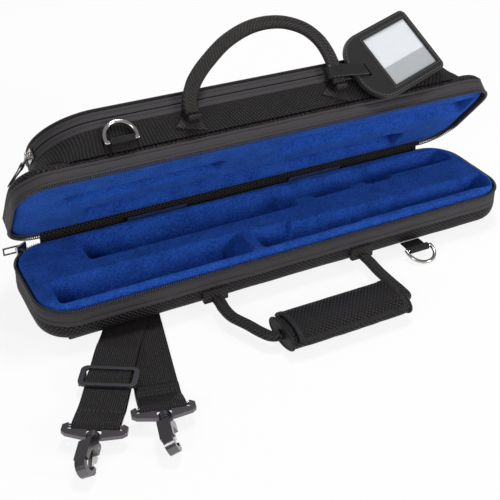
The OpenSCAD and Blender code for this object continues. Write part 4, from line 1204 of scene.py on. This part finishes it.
@dataclass(frozen=True)
class Handles:
    """The lid's handle, the base's padded handle, and the webbing that holds them."""

    line_y: float = -58.1
    lid_z: float = 65.0
    lid_route: tuple[tuple[float, float], ...] = (
        (-70, 0), (-69.8, 3), (-68.6, 9), (-64, 17), (-57, 26), (-43, 38), (-20, 53), (6, 62), (30, 62), (48, 54),
        (58, 42), (62, 28), (62.3, 13), (61.2, 5), (61, 0))
    base_route: tuple[tuple[float, float], ...] = (
        (-79, 0), (-79.2, -5), (-80, -13), (-79, -25), (-73, -39), (-68, -52), (-62, -60), (-48, -59.9), (0, -59.9),
        (43, -59.9), (54.5, -62), (56.3, -55), (56, -42), (56, -24), (57, -12), (57.4, -5), (57.5, 0))
    base_z: float = 9.3
    grip_x0: float = -54.0
    grip_x1: float = 48.0
    grip_y: float = -118.0
    grip_z: float = 9.2
    grip_half: tuple[float, float] = (19.0, 9.0)

    def lid_handle(self) -> None:
        """A flat folded band along the route, thinning in a half round at both ends."""
        r = smooth(self.lid_route, 8)
        path = np.stack([r[:, 0], np.full(len(r), self.line_y), self.lid_z + r[:, 1]], -1)
        side = np.cross(unit(np.gradient(path, axis=0)), [0, 1.0, 0])
        grid = sweep(path, side, flat_section(12.0, 5.0, 0.7))
        skin = Skin().tube(grid).turn(SHAPE.opened)
        skin.wear("lid_handle_band", Finishes.rope, "lid_handle_body", "webbing", "lid_handle")
        edge = path + unit(side) * 3.6 + np.array([0, -2.2, 0])
        rows = capsules(edge[6:-6], np.array([0, -1.0, 0]), 2.6, 3.8, 0.35, 0.0).turn(SHAPE.opened)
        rows.wear("lid_handle_stitches", Finishes.thread, "lid_handle_body", "webbing", sharp=STITCH_EDGE)

    def lid_anchor(self, name: str, root: float, x: float) -> None:
        """A gathered triangle of webbing sewn to the lid, with a fold that meets the handle's end."""
        t = np.linspace(0, 1, 14)
        mid = np.stack([root + (x - root) * t, -53.0 - 0.3 * np.sin(np.pi * t), 53.6 + 10.9 * t], -1)
        width = 26.0 + (11.0 - 26.0) * t**0.8
        scale = np.stack([width / 26.0, np.ones(14)], -1)
        grid = sweep(mid, np.array([1.0, 0, 0]), flat_section(26.0, 1.5, 0.0), scale)
        skin = Skin().grid(grid, loop_v=True, caps=True, swap=True)
        y = np.linspace(-52.9, -58.8, 10)
        fold = np.stack([np.full(10, x), y, np.full(10, 59.4)], -1)
        skin.grid(sweep(fold, np.array([1.0, 0, 0]), flat_section(11.0, 4.6, 0.2)), loop_v=True, caps=True, swap=True)
        skin.turn(SHAPE.opened)
        skin.wear(f"{name}_fold", Finishes.rope, "lid", "webbing", name)

    def base_handle(self) -> None:
        """The base's band on the ground, through the grip."""
        r = smooth(self.base_route, 8)
        path = np.stack([r[:, 0], self.line_y + r[:, 1], np.full(len(r), self.base_z)], -1)
        side = np.cross(unit(np.gradient(path, axis=0)), [0, 0, 1.0])
        grid = sweep(path, side, flat_section(10.0, 5.0, 0.7))
        skin = Skin().tube(grid)
        skin.wear("base_handle_band", Finishes.rope, "base_handle_body", "webbing", "base_handle")

    def base_anchor(self, name: str, x: float) -> None:
        """A folded patch on the base's front: its side view carried across the webbing's width."""
        view = smooth([(-51.2, 6.2), (-51.5, 5.9), (-54.5, 5.9), (-54.9, 6.4), (-54.8, 9.5), (-54.6, 12.4),
                       (-53.0, 15.6), (-51.6, 15.9), (-51.2, 15.6), (-51.15, 11.0), (-51.2, 6.2)], 4)[:-1]
        across = x + np.array([-10.5, -10.3, -9.6, -6, -2, 2, 6, 9.6, 10.3, 10.5])
        puff = np.array([0.86, 0.95, 1, 1, 1, 1, 1, 1, 0.95, 0.86])
        centre = view.mean(0)
        flat = centre + (view - centre)[None] * puff[:, None, None]
        grid = np.concatenate([np.broadcast_to(across[:, None, None], (*flat.shape[:2], 1)), flat], -1)
        skin = Skin().tube(grid)
        skin.wear(f"{name}_fold", Finishes.rope, "base", "webbing", name)

    def oval(self, grow: float, start: float, end: float, steps: int) -> Array:
        """Points on the grip's ellipse, grown by a margin, between two angles in degrees."""
        return arc((0, 0), 1.0, start, end, steps) * (np.array(self.grip_half) + grow)

    def along_grip(self, x: Array, section: Array) -> Array:
        """Carries a section of the grip, (n, m, 2) or (m, 2), along x."""
        sec = np.broadcast_to(section, (len(x), *section.shape[-2:]))
        return np.stack(np.broadcast_arrays(x[:, None], self.grip_y + sec[..., 0], self.grip_z + sec[..., 1]), -1)

    def grip(self) -> None:
        """The pad: an ellipse that swells between its bound ends, its flap and their bindings."""
        x = np.linspace(self.grip_x0 + 0.1, self.grip_x1 - 0.1, 70)
        share = (x - x[0]) / (x[-1] - x[0])
        swell = -1.1 + 1.1 * np.sin(np.pi * share) ** 0.35
        ring = self.oval(0.0, 0, 360, 48)[:-1]
        grow = 1 + (swell + 0.25 * wander(x, 37.0, 1.7)) / 19.0
        skin = Skin().tube(self.along_grip(x, ring[None] * grow[:, None, None]))
        pad = skin.wear("grip_cushion", Finishes.nylon, "base_handle_body", "nylon", "grip_pad")
        for side, at, node in (("left", self.grip_x0 - 1.25, "grip_binding_left"),
                               ("right", self.grip_x1 + 1.25, "grip_binding_right")):
            a = np.radians(np.linspace(0, 360, 13)[:-1])
            loop = self.oval(-0.9, 0, 360, 60)[:-1]
            loop3 = np.stack([np.full(60, at), self.grip_y + loop[:, 0], self.grip_z + loop[:, 1]], -1)
            outward = unit(np.stack([np.zeros(60), loop[:, 0] / 19.0**2, loop[:, 1] / 9.0**2], -1))
            tube = (loop3[:, None] + outward[:, None] * 1.25 * np.cos(a)[None, :, None]
                    + np.array([1.25, 0, 0]) * np.sin(a)[None, :, None])
            rim = Skin().grid(tube, loop_u=True, loop_v=True)
            disc = self.along_grip(np.array([at - 0.7, at + 0.7]), self.oval(-1.0, 0, 360, 60)[:-1])
            rim.tube(disc)
            rim.wear(f"grip_end_{side}", Finishes.binding, "base_handle_body", "webbing", node)

    def flap(self) -> None:
        """The flap that wraps the grip, and the ribbed binding on its front edge."""
        x = np.linspace(self.grip_x0 + 5, self.grip_x1 - 3, 60)
        soft = 0.35 * wander(x, 41.0, 0.9)

        def shell(start: float, end: float, gap: float, thick: float, steps: int) -> Array:
            """Closed section of a wrapped layer: outer arc, then inner arc back, with rounded edges."""
            outer, inner = self.oval(gap + thick, start, end, steps), self.oval(gap, end, start, steps)
            mid_end, mid_start = self.oval(gap + thick / 2, end + 1.2, end + 1.2, 0), self.oval(
                gap + thick / 2, start - 1.2, start - 1.2, 0)
            return np.vstack([outer, mid_end, inner, mid_start])

        sec = shell(8, 149, 0.45, 1.4, 30)
        grow = 1 + np.outer(soft, np.concatenate([np.sin(np.linspace(0, np.pi, 31)), [0],
                                                  np.sin(np.linspace(np.pi, 0, 31)), [0]])) / 40
        skin = Skin().tube(self.along_grip(x, sec[None] * grow[..., None]))
        skin.wear("grip_wrap", Finishes.nylon, "grip_flap_body", "nylon", "grip_flap")
        edge_x = np.linspace(x[0] - 0.2, x[-1] + 0.2, 60)
        edge = Skin().tube(self.along_grip(edge_x, shell(149.5, 163, 0.35, 1.9, 8)))
        for at, turn in ((x[0] + 0.6, 1), (x[-1] - 0.6, -1)):
            run = self.oval(1.3, 12, 158, 40)
            path = np.stack([np.full(41, at), self.grip_y + run[:, 0], self.grip_z + run[:, 1]], -1)
            edge.tube(sweep(path, np.array([1.0, 0, 0]), flat_section(4.4 if turn > 0 else 5.4, 2.1)))
        edge.wear("grip_wrap_binding", Finishes.binding, "grip_flap_body", "webbing", "grip_flap_binding")

    def build(self) -> None:
        """Makes both handles."""
        self.lid_handle()
        self.lid_anchor("lid_anchor_left", -73.0, -70.0)
        self.lid_anchor("lid_anchor_right", 56.0, 61.0)
        self.base_handle()
        self.base_anchor("base_anchor_left", -79.0)
        self.base_anchor("base_anchor_right", 57.5)
        self.grip()
        self.flap()


@dataclass(frozen=True)
class Rings:
    """The two D-rings and their webbing tabs."""

    def tab(self, tail: float, low: float) -> Array:
        """Side view of a tab: a straight tail, then round the ring's straight side."""
        return np.vstack([smooth([(-tail, low), (-tail * 0.5, low), (-1.2, low + (-2.5 - low) * 0.6)], 4)[:-1],
                          arc((0, 0), 2.5, -90, 205, 26)])

    def build(self) -> None:
        """Makes both tabs and refines both rings."""
        for name, body, slot_body in (("lid", "lid_ring_body", "lid"), ("base", "base_ring_body", "base")):
            ring = refined(f"{name}_ring", f"{name}_d_ring", Finishes.nickel, 0.2, 50.0)
            place(ring, body, "nickel", f"{name}_ring")
            view = self.tab(7.0, -2.5) if name == "lid" else self.tab(13.4, -0.6)
            if name == "lid":
                path = np.stack([np.full(len(view), -129.0), -55.4 - view[:, 1], 55.0 + view[:, 0]], -1)
            else:
                path = np.stack([np.full(len(view), 109.0), -64.0 - view[:, 0], 6.5 + view[:, 1]], -1)
            skin = Skin().tube(sweep(path, np.array([1.0, 0, 0]), flat_section(19.4, 1.1)))
            skin.turn(SHAPE.opened if name == "lid" else SHAPE.still)
            skin.wear(f"{name}_ring_webbing", Finishes.strap, slot_body, "webbing", f"{name}_ring_tab")


@dataclass(frozen=True)
class NameTag:
    """The name tag: leather back and frame, card, window, stitches and the loop that holds it."""

    x: float = 116.9
    z: float = 77.0
    y: float = -58.1
    slope: float = 16.0
    width: float = 83.0
    height: float = 63.0

    def on_tag(self, p: Array) -> Array:
        """Puts a drawing of the tag, (along, up, out), on the shut lid's front and opens the lid."""
        a = math.radians(self.slope)
        u, v = p[..., 0], p[..., 1]
        shut = np.stack([self.x + u * math.cos(a) - v * math.sin(a), self.y - p[..., 2],
                         self.z + u * math.sin(a) + v * math.cos(a)], -1)
        return SHAPE.opened(shut)

    def edge(self, inset: float) -> Array:
        """The tag's outline: large round corners on the left and small ones on the right."""
        w, h = self.width / 2 - inset, self.height / 2 - inset
        big, small = 24.0 - inset, 6.0 - inset
        return np.vstack([arc((w - small, -h + small), small, -90, 0, 8),
                          arc((w - small, h - small), small, 0, 90, 8),
                          arc((-w + big, h - big), big, 90, 180, 18), arc((-w + big, -h + big), big, 180, 270, 18)])

    def build(self) -> None:
        """Makes the tag's pieces."""
        place(refined("tag_back", "tag_leather_back", Finishes.leather, 0.45, 40.0), "tag", "nylon", "tag_back")
        place(refined("tag_frame", "tag_leather_front", Finishes.leather, 0.6, 40.0), "tag", "nylon", "tag_frame")
        u, v = np.linspace(-24.8, 24.8, 30), np.linspace(-23.3, 23.3, 28)
        gu, gv = np.meshgrid(u, v, indexing="ij")
        bow = 0.12 * np.sin(gu / 9.0) * np.cos(gv / 12.0)
        for name, z0, thick, finish, node, slot in (
                ("tag_paper", -0.45, 0.2, Finishes.card, "tag_card", "card"),
                ("tag_clear_window", 0.05, 0.35, Finishes.window, "tag_window", "clear_window")):
            face = np.stack([gu + 11.8, gv, z0 + bow * 0.5 + thick / 2], -1)
            back = face - np.array([0, 0, thick])
            skin = Skin().grid(face).grid(back[:, ::-1])
            for one, other in ((face[0], back[0]), (face[-1], back[-1]), (face[:, 0], back[:, 0]),
                               (face[:, -1], back[:, -1])):
                skin.grid(np.stack([one, other]))
            skin.turn(self.on_tag).wear(name, finish, "tag", slot, node)
        line = self.edge(2.2)
        path = np.column_stack([np.vstack([line, line[:1]]), np.full(len(line) + 1, STITCH_FACE)])
        rows = capsules(path, np.array([0, 0, 1.0]), 2.0, 3.0, 0.3)
        half = np.array([26.9, 25.3])
        box = np.array([[-1, -1], [1, -1], [1, 1], [-1, 1], [-1, -1]]) * half + np.array([11.8, 0])
        box = resample(box, 2.0)[0]
        path = np.column_stack([box, np.full(len(box), STITCH_FACE)])
        inner = capsules(path, np.array([0, 0, 1.0]), 1.8, 2.8, 0.27)
        rows.turn(self.on_tag).wear("tag_edge_stitches", Finishes.pale_thread, "tag", "leather", sharp=STITCH_EDGE)
        inner.turn(self.on_tag).wear("tag_window_stitches", Finishes.pale_thread, "tag", "leather", sharp=STITCH_EDGE)
        self.loop()

    def loop(self) -> None:
        """The leather loop: a flat ring round the handle's leg and through the slot, twisting on its way."""
        r, x0, x1 = 3.3, 56.8, 86.4
        run = np.linspace(0, 1, 14)[:-1]
        there = np.column_stack([x0 + (x1 - x0) * run, np.full(13, -r), np.zeros(13), np.full(13, -1.0)])
        a1, a2 = np.radians(np.linspace(-90, 90, 13)[:-1]), np.radians(np.linspace(90, 270, 13)[:-1])
        turn1 = np.column_stack([x1 + r * np.cos(a1), r * np.sin(a1), np.cos(a1), np.sin(a1)])
        back = np.column_stack([x1 + (x0 - x1) * run, np.full(13, r), np.zeros(13), np.ones(13)])
        turn2 = np.column_stack([x0 + r * np.cos(a2), r * np.sin(a2), np.cos(a2), np.sin(a2)])
        s = np.vstack([there, turn1, back, turn2])
        f = np.clip((s[:, 0] - 61.5) / (x1 + r - 61.5), 0, 1)
        rise, tilt = 42.0 + (38.2 - 42.0) * f, np.radians(-8 + 24 * f)
        sec = flat_section(11.0, 1.0)
        o, v = sec[None, :, 1], sec[None, :, 0]
        p = np.stack([s[:, :1] + s[:, 2:3] * o - np.sin(tilt)[:, None] * v,
                      self.y - (s[:, 1:2] + s[:, 3:4] * o) + 0 * v,
                      31.0 + rise[:, None] + np.cos(tilt)[:, None] * v + 0 * o], -1)
        piece = Skin().grid(p, loop_u=True, loop_v=True).turn(SHAPE.opened).make("tag_loop", Finishes.loop_leather)
        ends = SHAPE.opened(np.array([[64.5, self.y, 73.0], [82.0, self.y, 70.0]])) * MM
        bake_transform(piece)
        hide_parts("tag_strap")
        log.info("tag_loop bends between lid_handle_body and tag")


@dataclass(frozen=True)
class StrapEnd:
    """One end of the shoulder strap: where it starts, which way it runs and how far its hook is."""

    start: tuple[float, float]
    turn: float
    length: float
    route: tuple[tuple[float, float], ...]
    tail: tuple[tuple[float, float], ...]

    def put(self, view: Array) -> Array:
        """Places a side view, (along, height), on the ground."""
        t = math.radians(self.turn)
        return np.stack([self.start[0] - view[:, 0] * math.sin(t), self.start[1] - view[:, 0] * math.cos(t),
                         view[:, 1]], -1)

    def side(self) -> Array:
        """Direction across the strap."""
        t = math.radians(self.turn)
        return np.array([math.cos(t), -math.sin(t), 0.0])

    def centre_line(self) -> Array:
        """Along the ground, over the hook's bar and back underneath."""
        return np.vstack([smooth(self.route, 7)[:-1], arc((self.length, 9.2), 2.55, 105, -105, 22),
                          smooth(self.tail, 6)])


@dataclass(frozen=True)
class ShoulderStrap:
    """The strap folded under the case, its slide and its two hooks."""

    width: float = 32.0
    thick: float = 1.5
    left: StrapEnd = StrapEnd((-148.0, -38.0), 30.3, 128.5,
                              ((0, 2.2), (11, 2.2), (22, 2.25), (34, 4.3), (46, 6.6), (74, 6.6), (102, 6.6),
                               (117, 9.2)),
                              ((112, 3.6), (106, 1.6), (100, 0.85), (83, 0.85), (66, 0.85)))
    right: StrapEnd = StrapEnd((-128.6, 0.0), 13.9, 156.0,
                               ((0, 0.75), (60, 0.75), (118, 0.75), (126, 2.45), (136, 2.45), (146, 7.4)),
                               ((146, 3.4), (137, 0.8), (128, 0.75)))

    def band(self, path: Array, side: Array) -> Array:
        """A flat band with slightly thicker edges along a path."""
        return sweep(path, side, flat_section(self.width, self.thick, 0.12))

    def webbing(self) -> None:
        """Both ends and the five stretches that lie folded under the case."""
        skin = Skin()
        for end in (self.left, self.right):
            line = end.put(resample(end.centre_line(), 2.0)[0])
            skin.tube(self.band(line, end.side()))
        rows = ((((-146, -12, 2.2), (-108, -12, 2.2), (-102, -12, 0.75), (190, -12, 0.75)), (0, 1.0, 0)),
                (((-180, -42, 0.75), (-180, -10, 0.75)), (1.0, 0, 0)),
                (((-180, -42, 2.2), (-180, 44, 2.2)), (1.0, 0, 0)),
                (((-196, 28, 0.75), (190, 28, 0.75)), (0, 1.0, 0)),
                (((174, -28, 2.2), (174, 44, 2.2)), (1.0, 0, 0)))
        for points, side in rows:
            skin.tube(self.band(resample(np.array(points, float), 3.0)[0], np.array(side, float)))
        skin.wear("strap_webbing_loop", Finishes.strap, "base", "webbing", "shoulder_strap")

    def seams(self) -> None:
        """Rows of stitches across the strap where its ends are sewn back."""
        for name, end, spots in (("left", self.left, (112.0, 115.0)), ("right", self.right, (131.0, 134.5))):
            line = end.centre_line()
            skin = Skin()
            for s in spots:
                k = int(np.argmin(np.abs(line[: len(line) // 2, 0] - s)))
                at = end.put(line[k: k + 1])[0]
                half = end.side() * (self.width / 2 - 3)
                row = capsules(np.linspace(at - half, at + half, 12), np.array([0, 0, 1.0]), 2.2, 3.0, 0.32,
                               self.thick / 2 + 0.05)
                skin.join(row)
            skin.wear(f"strap_stitches_{name}", Finishes.thread, "base", "webbing", sharp=STITCH_EDGE)

    def fold(self) -> None:
        """The strap's turn over the slide's middle bar, which travels with the slide."""
        view = smooth([(69.8, 6.9), (71.5, 8.3), (74.5, 9.6), (78.0, 10.0), (81.5, 9.6), (84.5, 8.3), (86.2, 6.9)], 4)
        skin = Skin().tube(sweep(self.left.put(view), self.left.side(), flat_section(30.6, 1.4, 0.1)))
        skin.wear("strap_slide_fold", Finishes.strap, "strap_slide", "webbing")

    def metalwork(self) -> None:
        """The slide and both swivel hooks, as rounded copies of their nodes."""
        place(refined("tri_glide", "strap_slide_frame", Finishes.plastic, 0.6, 35.0), "strap_slide", "black_plastic",
              "tri_glide")
        for side in ("left", "right"):
            for node, body, bevel in (("frame", f"hook_loop_{side}", 0.5), ("body", f"hook_{side}", 0.45),
                                      ("gate", f"gate_{side}", 0.3), ("pin", f"hook_{side}", 0.1)):
                slot = "black_chrome" if node in ("frame", "body") else "nickel"
                finish = Finishes.black_chrome if slot == "black_chrome" else Finishes.nickel
                place(refined(f"hook_{node}_{side}", f"snap_{node}_{side}", finish, bevel, 35.0), body, slot,
                      f"hook_{node}_{side}")

    def build(self) -> None:
        """Makes the strap and its metalwork."""
        self.webbing()
        self.seams()
        self.fold()
        self.metalwork()


class Sliders:
    """The zip sliders with their pulls."""

    def build(self) -> None:
        """Refines the sliders and the wire pulls, and makes the pocket's webbing pull."""
        for node, name, body, finish, slot in (
                ("pocket_slider", "pocket_slider_body_metal", "pocket_slider_body", Finishes.nickel, "nickel"),
                ("main_slider", "main_slider_metal", "main_slider_body", Finishes.nickel, "nickel"),
                ("pocket_pull_ring", "pocket_pull_wire", "pocket_pull", Finishes.nickel, "nickel"),
                ("main_pull", "main_pull_wire", "main_pull_body", Finishes.black_chrome, "black_chrome")):
            place(refined(node, name, finish, 0.3, 40.0), body, slot, node)
        self.pull_tab()

    def pull_tab(self) -> None:
        """A short fold of webbing that hangs from the pull's wire and ends in a stitched edge."""
        a = math.radians(188.0)
        centre, lean = np.array([-141.0, -6.2, 76.0]), math.radians(-45.0)
        radial, along = np.array([math.cos(a), math.sin(a), 0]), np.array([-math.sin(a), math.cos(a), 0])
        pivot = centre + radial * (46.0 + 0.3 + 1.6 + 1.1)
        down = np.cos(lean) * np.array([0, 0, -1.0]) - math.sin(lean) * radial
        down, out = unit(down), unit(np.cross(down, along))
        fold = arc((10.0, 0), 1.35, 150, 210, 4)[::-1]
        view = np.vstack([[[29.6, -0.55], [24.0, -0.55], [18.0, -0.6], [13.0, -0.9], [11.0, -1.3]],
                          arc((10.0, 0), 1.35, -70, -290, 14), [[11.0, 1.3], [13.0, 0.9], [18.0, 0.6], [24.0, 0.55],
                                                               [29.6, 0.55]]])
        path = pivot + down * view[:, :1] + out * view[:, 1:]
        skin = Skin().tube(sweep(path, along, flat_section(6.2, 0.85))).turn(SHAPE.opened)
        skin.wear("pocket_pull_webbing", Finishes.strap, "pocket_pull", "webbing", "pocket_pull_tab")


# ---------- studio ----------


@dataclass(frozen=True)
class Studio:
    """Camera, floor, world and lamps."""

    azimuth: float = -27.97
    elevation: float = 33.14
    roll: float = 0.77
    distance: float = 817.0
    target: tuple[float, float, float] = (-20.6, 0.0, 4.9)
    lens: float = 68.83

    def camera(self) -> None:
        """The camera looks at the target from its azimuth and elevation, turned by its roll."""
        a, e, r = (math.radians(v) for v in (self.azimuth, self.elevation, self.roll))
        back = Vector((math.sin(a) * math.cos(e), -math.cos(a) * math.cos(e), math.sin(e)))
        right = Vector((math.cos(a), math.sin(a), 0))
        up = back.cross(right)
        x = right * math.cos(r) + up * math.sin(r)
        y = -right * math.sin(r) + up * math.cos(r)
        data = bpy.data.cameras.new("camera")
        data.lens, data.sensor_width, data.clip_start, data.clip_end = self.lens, 36.0, 0.05, 20.0
        camera = bpy.data.objects.new("camera", data)
        turn = Matrix((x, y, back)).transposed().to_4x4()
        camera.matrix_world = Matrix.Translation((back * self.distance + Vector(self.target)) * MM) @ turn
        bpy.context.scene.collection.objects.link(camera)
        bpy.context.scene.camera = camera

    def lamp(self, name: str, place_at: Rgb, look: Rgb, power: float, size: float) -> None:
        """A square soft lamp turned to a point."""
        data = bpy.data.lights.new(name, "AREA")
        data.energy, data.size = power, size
        lamp = bpy.data.objects.new(name, data)
        lamp.location = place_at
        lamp.rotation_euler = (Vector(look) - Vector(place_at)).to_track_quat("-Z", "Y").to_euler()
        bpy.context.scene.collection.objects.link(lamp)

    def floor(self) -> None:
        """A wide white floor that keeps the object's shadow and shows as white."""
        g = Graph("studio_floor")
        path = g.nodes.new("ShaderNodeLightPath")
        seen = g.math("MAXIMUM", Field(g, path.outputs["Is Camera Ray"]), Field(g, path.outputs["Is Glossy Ray"]))
        seen = g.math("MAXIMUM", seen, Field(g, path.outputs["Is Transmission Ray"]))
        matt = g.node("ShaderNodeBsdfDiffuse", {}, {"Color": (0.9, 0.9, 0.9, 1.0)})
        glow = g.node("ShaderNodeEmission", {}, {"Color": (1.0, 1.0, 1.0, 1.0), "Strength": 1.0})
        both = g.node("ShaderNodeMixShader", {}, {0: seen * 0.86, 1: matt, 2: glow})
        g.links.new(both.socket, g.output.inputs["Surface"])
        mesh = bpy.data.meshes.new("studio_floor")
        mesh.from_pydata([(-6, -6, -0.0005), (6, -6, -0.0005), (6, 6, -0.0005), (-6, 6, -0.0005)], [], [(0, 1, 2, 3)])
        mesh.materials.append(g.material)
        floor = bpy.data.objects.new("studio_floor", mesh)
        bpy.context.scene.collection.objects.link(floor)

    def world(self) -> None:
        """A plain world: even light, and white where the camera, gloss or clear pieces see it."""
        world = bpy.data.worlds.new("studio_world")
        bpy.context.scene.world = world
        world.use_nodes = True
        nodes, links = world.node_tree.nodes, world.node_tree.links
        nodes.clear()
        path = nodes.new("ShaderNodeLightPath")
        most = nodes.new("ShaderNodeMath")
        most.operation = "MAXIMUM"
        links.new(path.outputs["Is Camera Ray"], most.inputs[0])
        links.new(path.outputs["Is Transmission Ray"], most.inputs[1])
        even, white = nodes.new("ShaderNodeBackground"), nodes.new("ShaderNodeBackground")
        even.inputs["Strength"].default_value = 0.3
        even.inputs["Color"].default_value = white.inputs["Color"].default_value = (1, 1, 1, 1)
        mix, out = nodes.new("ShaderNodeMixShader"), nodes.new("ShaderNodeOutputWorld")
        links.new(most.outputs[0], mix.inputs[0])
        links.new(even.outputs[0], mix.inputs[1])
        links.new(white.outputs[0], mix.inputs[2])
        links.new(mix.outputs[0], out.inputs["Surface"])

    def build(self) -> None:
        """Sets up the view and the light."""
        self.camera()
        self.floor()
        self.world()
        self.lamp("key", (1.0, -1.4, 0.6), (0.05, 0, 0.05), 15.0, 0.5)
        self.lamp("fill", (-1.2, -0.8, 0.7), (0, 0, 0.05), 6.0, 0.5)
        self.lamp("top", (0.3, 0.45, 1.6), (0, 0, 0.03), 15.0, 0.35)
        bpy.context.scene.view_settings.view_transform = "Standard"


def main() -> None:
    """Builds the studio and then every sub-assembly in order."""
    logging.basicConfig(level=logging.INFO, format="%(name)s: %(message)s")
    Studio().build()
    TrayHalf(SHAPE, "base", lid=False).build(BASE_CUSHION)
    TrayHalf(SHAPE, "lid", lid=True).build(LID_CUSHION)
    BackHinge().build()
    Pocket().build()
    Handles().build()
    Rings().build()
    NameTag().build()
    ShoulderStrap().build()
    Sliders().build()
    made = [o for o in bpy.data.objects if o.type == "MESH" and not o.hide_render]
    log.info("%d shown meshes", len(made))


if __name__ == "__main__":
    main()
